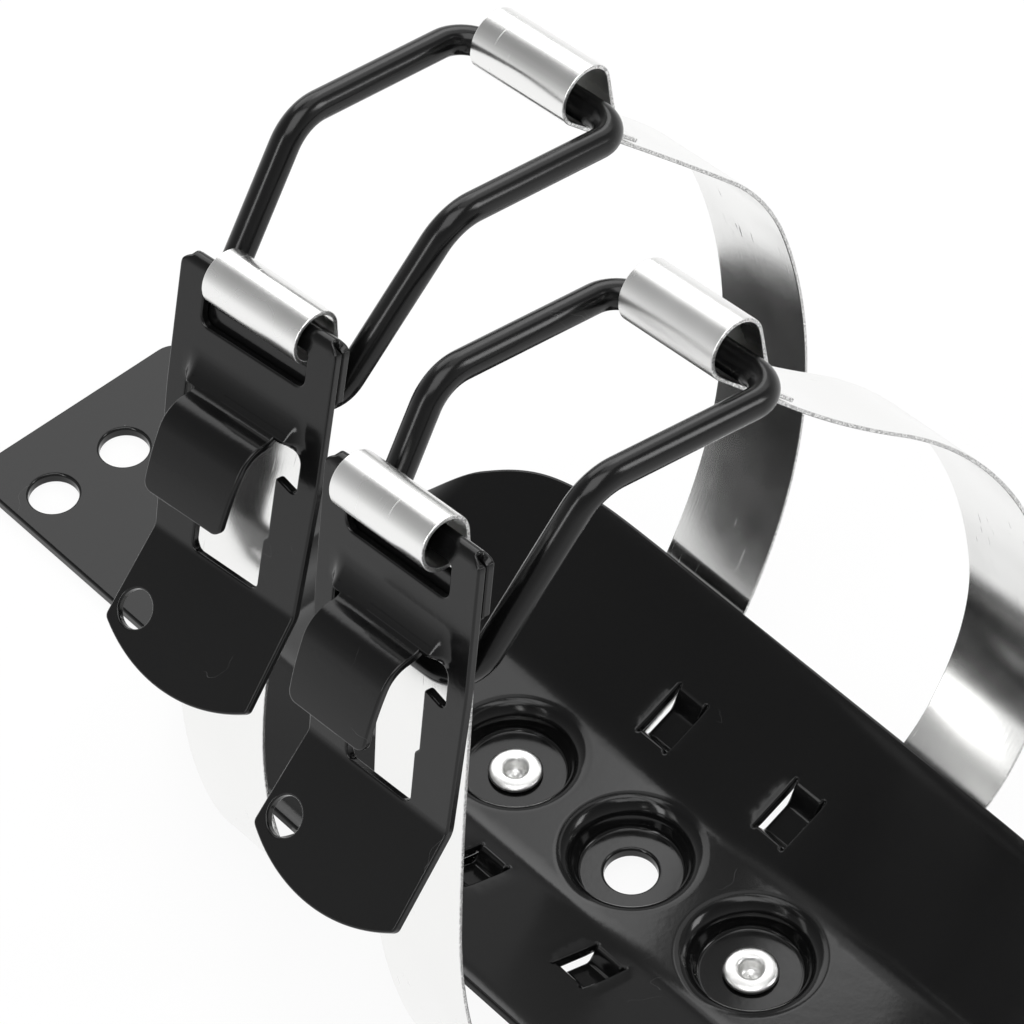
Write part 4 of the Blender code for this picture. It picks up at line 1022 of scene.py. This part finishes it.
slot_hole = slot_loop(slot_top, slot_bottom, [1.0 * MM, 1.0 * MM, 2.2 * MM, 2.2 * MM])
ply_slot = slot_loop(top_end + ply_low - ply_slot_low, top_end + ply_low - ply_slot_top, [0.9 * MM] * 4)
frame_side = [(notch_half, notch_top), (notch_half, notch_low), (window_half, notch_low - 1.6 * MM),
              (window_half, window_step - 0.5 * MM), (window_low_half, window_step + 0.8 * MM),
              (window_low_half, window_low)]
frame_radii = [2.4 * MM, 1.2 * MM, 0.8 * MM, 1.0 * MM, 1.0 * MM, 2.0 * MM]
left_side = [(-x, y + (left_notch_drop if y == notch_top else 0.0)) for x, y in reversed(frame_side)]
window_hole = round_outline(frame_side + left_side, frame_radii + frame_radii[::-1], 0.5 * MM)


def sheet_rows(low, high, step):
    return list(np.linspace(low, high, max(2, math.ceil((high - low) / step) + 1)))


lever_rows = sheet_rows(top_end + 0.8 * MM, -fold_height - fold_reach, 0.9 * MM)[:-1]
lever_rows += list(-fold_height - fold_reach * np.linspace(1, 0, 25))
for low, high, step in ((0.4, 11.0, 1.5), (11.5, 34.0, 0.6), (35.0, 57.5, 1.5), (57.8, 62.4, 0.22),
                        (63.4, 86.0, 1.6)):
    lever_rows += sheet_rows(low * MM, high * MM, step * MM)
lever_grid = [(x, y) for y in lever_rows for x in np.arange(-20.0, 20.1, 1.25) * MM]
hook_length = sum(length for length, _ in hook_way)
hook_side = [(hook_half, 0.0), (hook_half, hook_straight), (hook_half - hook_taper, hook_length)]
hook_radii = [0.7 * MM, 20 * MM, 2.2 * MM]
hook_outline = round_outline(hook_side + [(-x, y) for x, y in reversed(hook_side)],
                             hook_radii + hook_radii[::-1], 0.4 * MM)
hook_grid = [(x, y) for y in np.arange(0.6, 25.2, 0.4) * MM for x in np.arange(-10.0, 10.1, 1.0) * MM]
lever_coat = black_coat("lever coat", 0.12, 0.18, 0.06)
drilled = circle(handle_hole_side, bend_at + handle_hole_down, handle_hole_r, 56)
lever_holes = [slot_hole, ply_slot, window_hole, drilled]
for number in levers:
    item = pressed_sheet(f"stamped_lever_{number}", lever_outline, lever_holes, lever_grid,
                         lever_face(number), lever_t, lever_edge_r)
    hook = pressed_sheet(f"hook_{number}", hook_outline, [], hook_grid,
                         hook_face(number), hook_t, lever_edge_r)
    both = [item, hook]
    with bpy.context.temp_override(active_object=item, selected_objects=both, selected_editable_objects=both):
        bpy.ops.object.join()
    item.data.materials.clear()
    item.data.materials.append(lever_coat)
    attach(item, f"latch_lever_{number}")
    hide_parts(f"lever_{number}")

# Bails. A closed loop of 6 mm wire turns in each strap's teardrop eye and hooks its far end under the lever's
# hook. It is bent at two knees, then powder coated black like the plate.
wire_r, wire_top, wire_mid, wire_low = 3.0 * MM, 21.3 * MM, 20.7 * MM, 16.3 * MM
upper_leg, lower_leg, knee = 46.4 * MM, 43.8 * MM, math.radians(57)
loop_corners = ((0.0, -wire_top, 0.0, 7.0), (-upper_leg, -wire_mid, 0.0, 11.0),
                (-upper_leg - lower_leg * math.cos(knee), -wire_low, -lower_leg * math.sin(knee), 9.0))
loop_corners += tuple((x, -y, z, radius) for x, y, z, radius in reversed(loop_corners))
bail_rests = {"1": math.radians(11.342), "2": math.radians(10.046)}
made, keys, given, result = node_tree("bent wire loop", (
    ("Wire Radius", "NodeSocketFloat"), ("Coat", "NodeSocketMaterial")))
add, wire = made.nodes.new, made.links.new
path = add("GeometryNodeMeshToCurve")
bends = add("GeometryNodeInputNamedAttribute")
bends.data_type = "FLOAT"
bends.inputs["Name"].default_value = "bend"
rounded = add("GeometryNodeFilletCurve")
rounded.mode = "POLY"
rounded.inputs["Count"].default_value = 14
ring = add("GeometryNodeCurvePrimitiveCircle")
ring.inputs["Resolution"].default_value = 36
drawn = add("GeometryNodeCurveToMesh")
smooth = add("GeometryNodeSetShadeSmooth")
real = add("GeometryNodeRealizeInstances")
finish = add("GeometryNodeSetMaterial")
wire(given.outputs["Geometry"], path.inputs["Mesh"])
wire(path.outputs["Curve"], rounded.inputs["Curve"])
wire(bends.outputs["Attribute"], rounded.inputs["Radius"])
wire(given.outputs["Wire Radius"], ring.inputs["Radius"])
wire(rounded.outputs["Curve"], drawn.inputs["Curve"])
wire(ring.outputs["Curve"], drawn.inputs["Profile Curve"])
wire(drawn.outputs["Mesh"], smooth.inputs["Geometry"])
wire(smooth.outputs["Geometry"], real.inputs["Geometry"])
wire(real.outputs["Geometry"], finish.inputs["Geometry"])
wire(given.outputs["Coat"], finish.inputs["Material"])
wire(finish.outputs["Geometry"], result.inputs["Geometry"])

wire_coat = black_coat("wire coat", 0.17, 0.24, 0.05)
count = len(loop_corners)
for number, rest in bail_rests.items():
    space = hung(f"bail_{number}_hinge", number, rest)
    host = empty_mesh(f"wire path {number}")
    corners = [space @ Vector(corner[:3]) for corner in loop_corners]
    host.data.from_pydata(corners, [(i, (i + 1) % count) for i in range(count)], [])
    bend = host.data.attributes.new("bend", "FLOAT", "POINT")
    bend.data.foreach_set("value", [corner[3] * MM for corner in loop_corners])
    item = freeze(host, made, keys, {"Wire Radius": wire_r, "Coat": wire_coat}, f"bent_wire_bail_{number}")
    bpy.data.objects.remove(host, do_unlink=True)
    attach(item, f"wire_bail_{number}")
    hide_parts(f"bail_{number}")
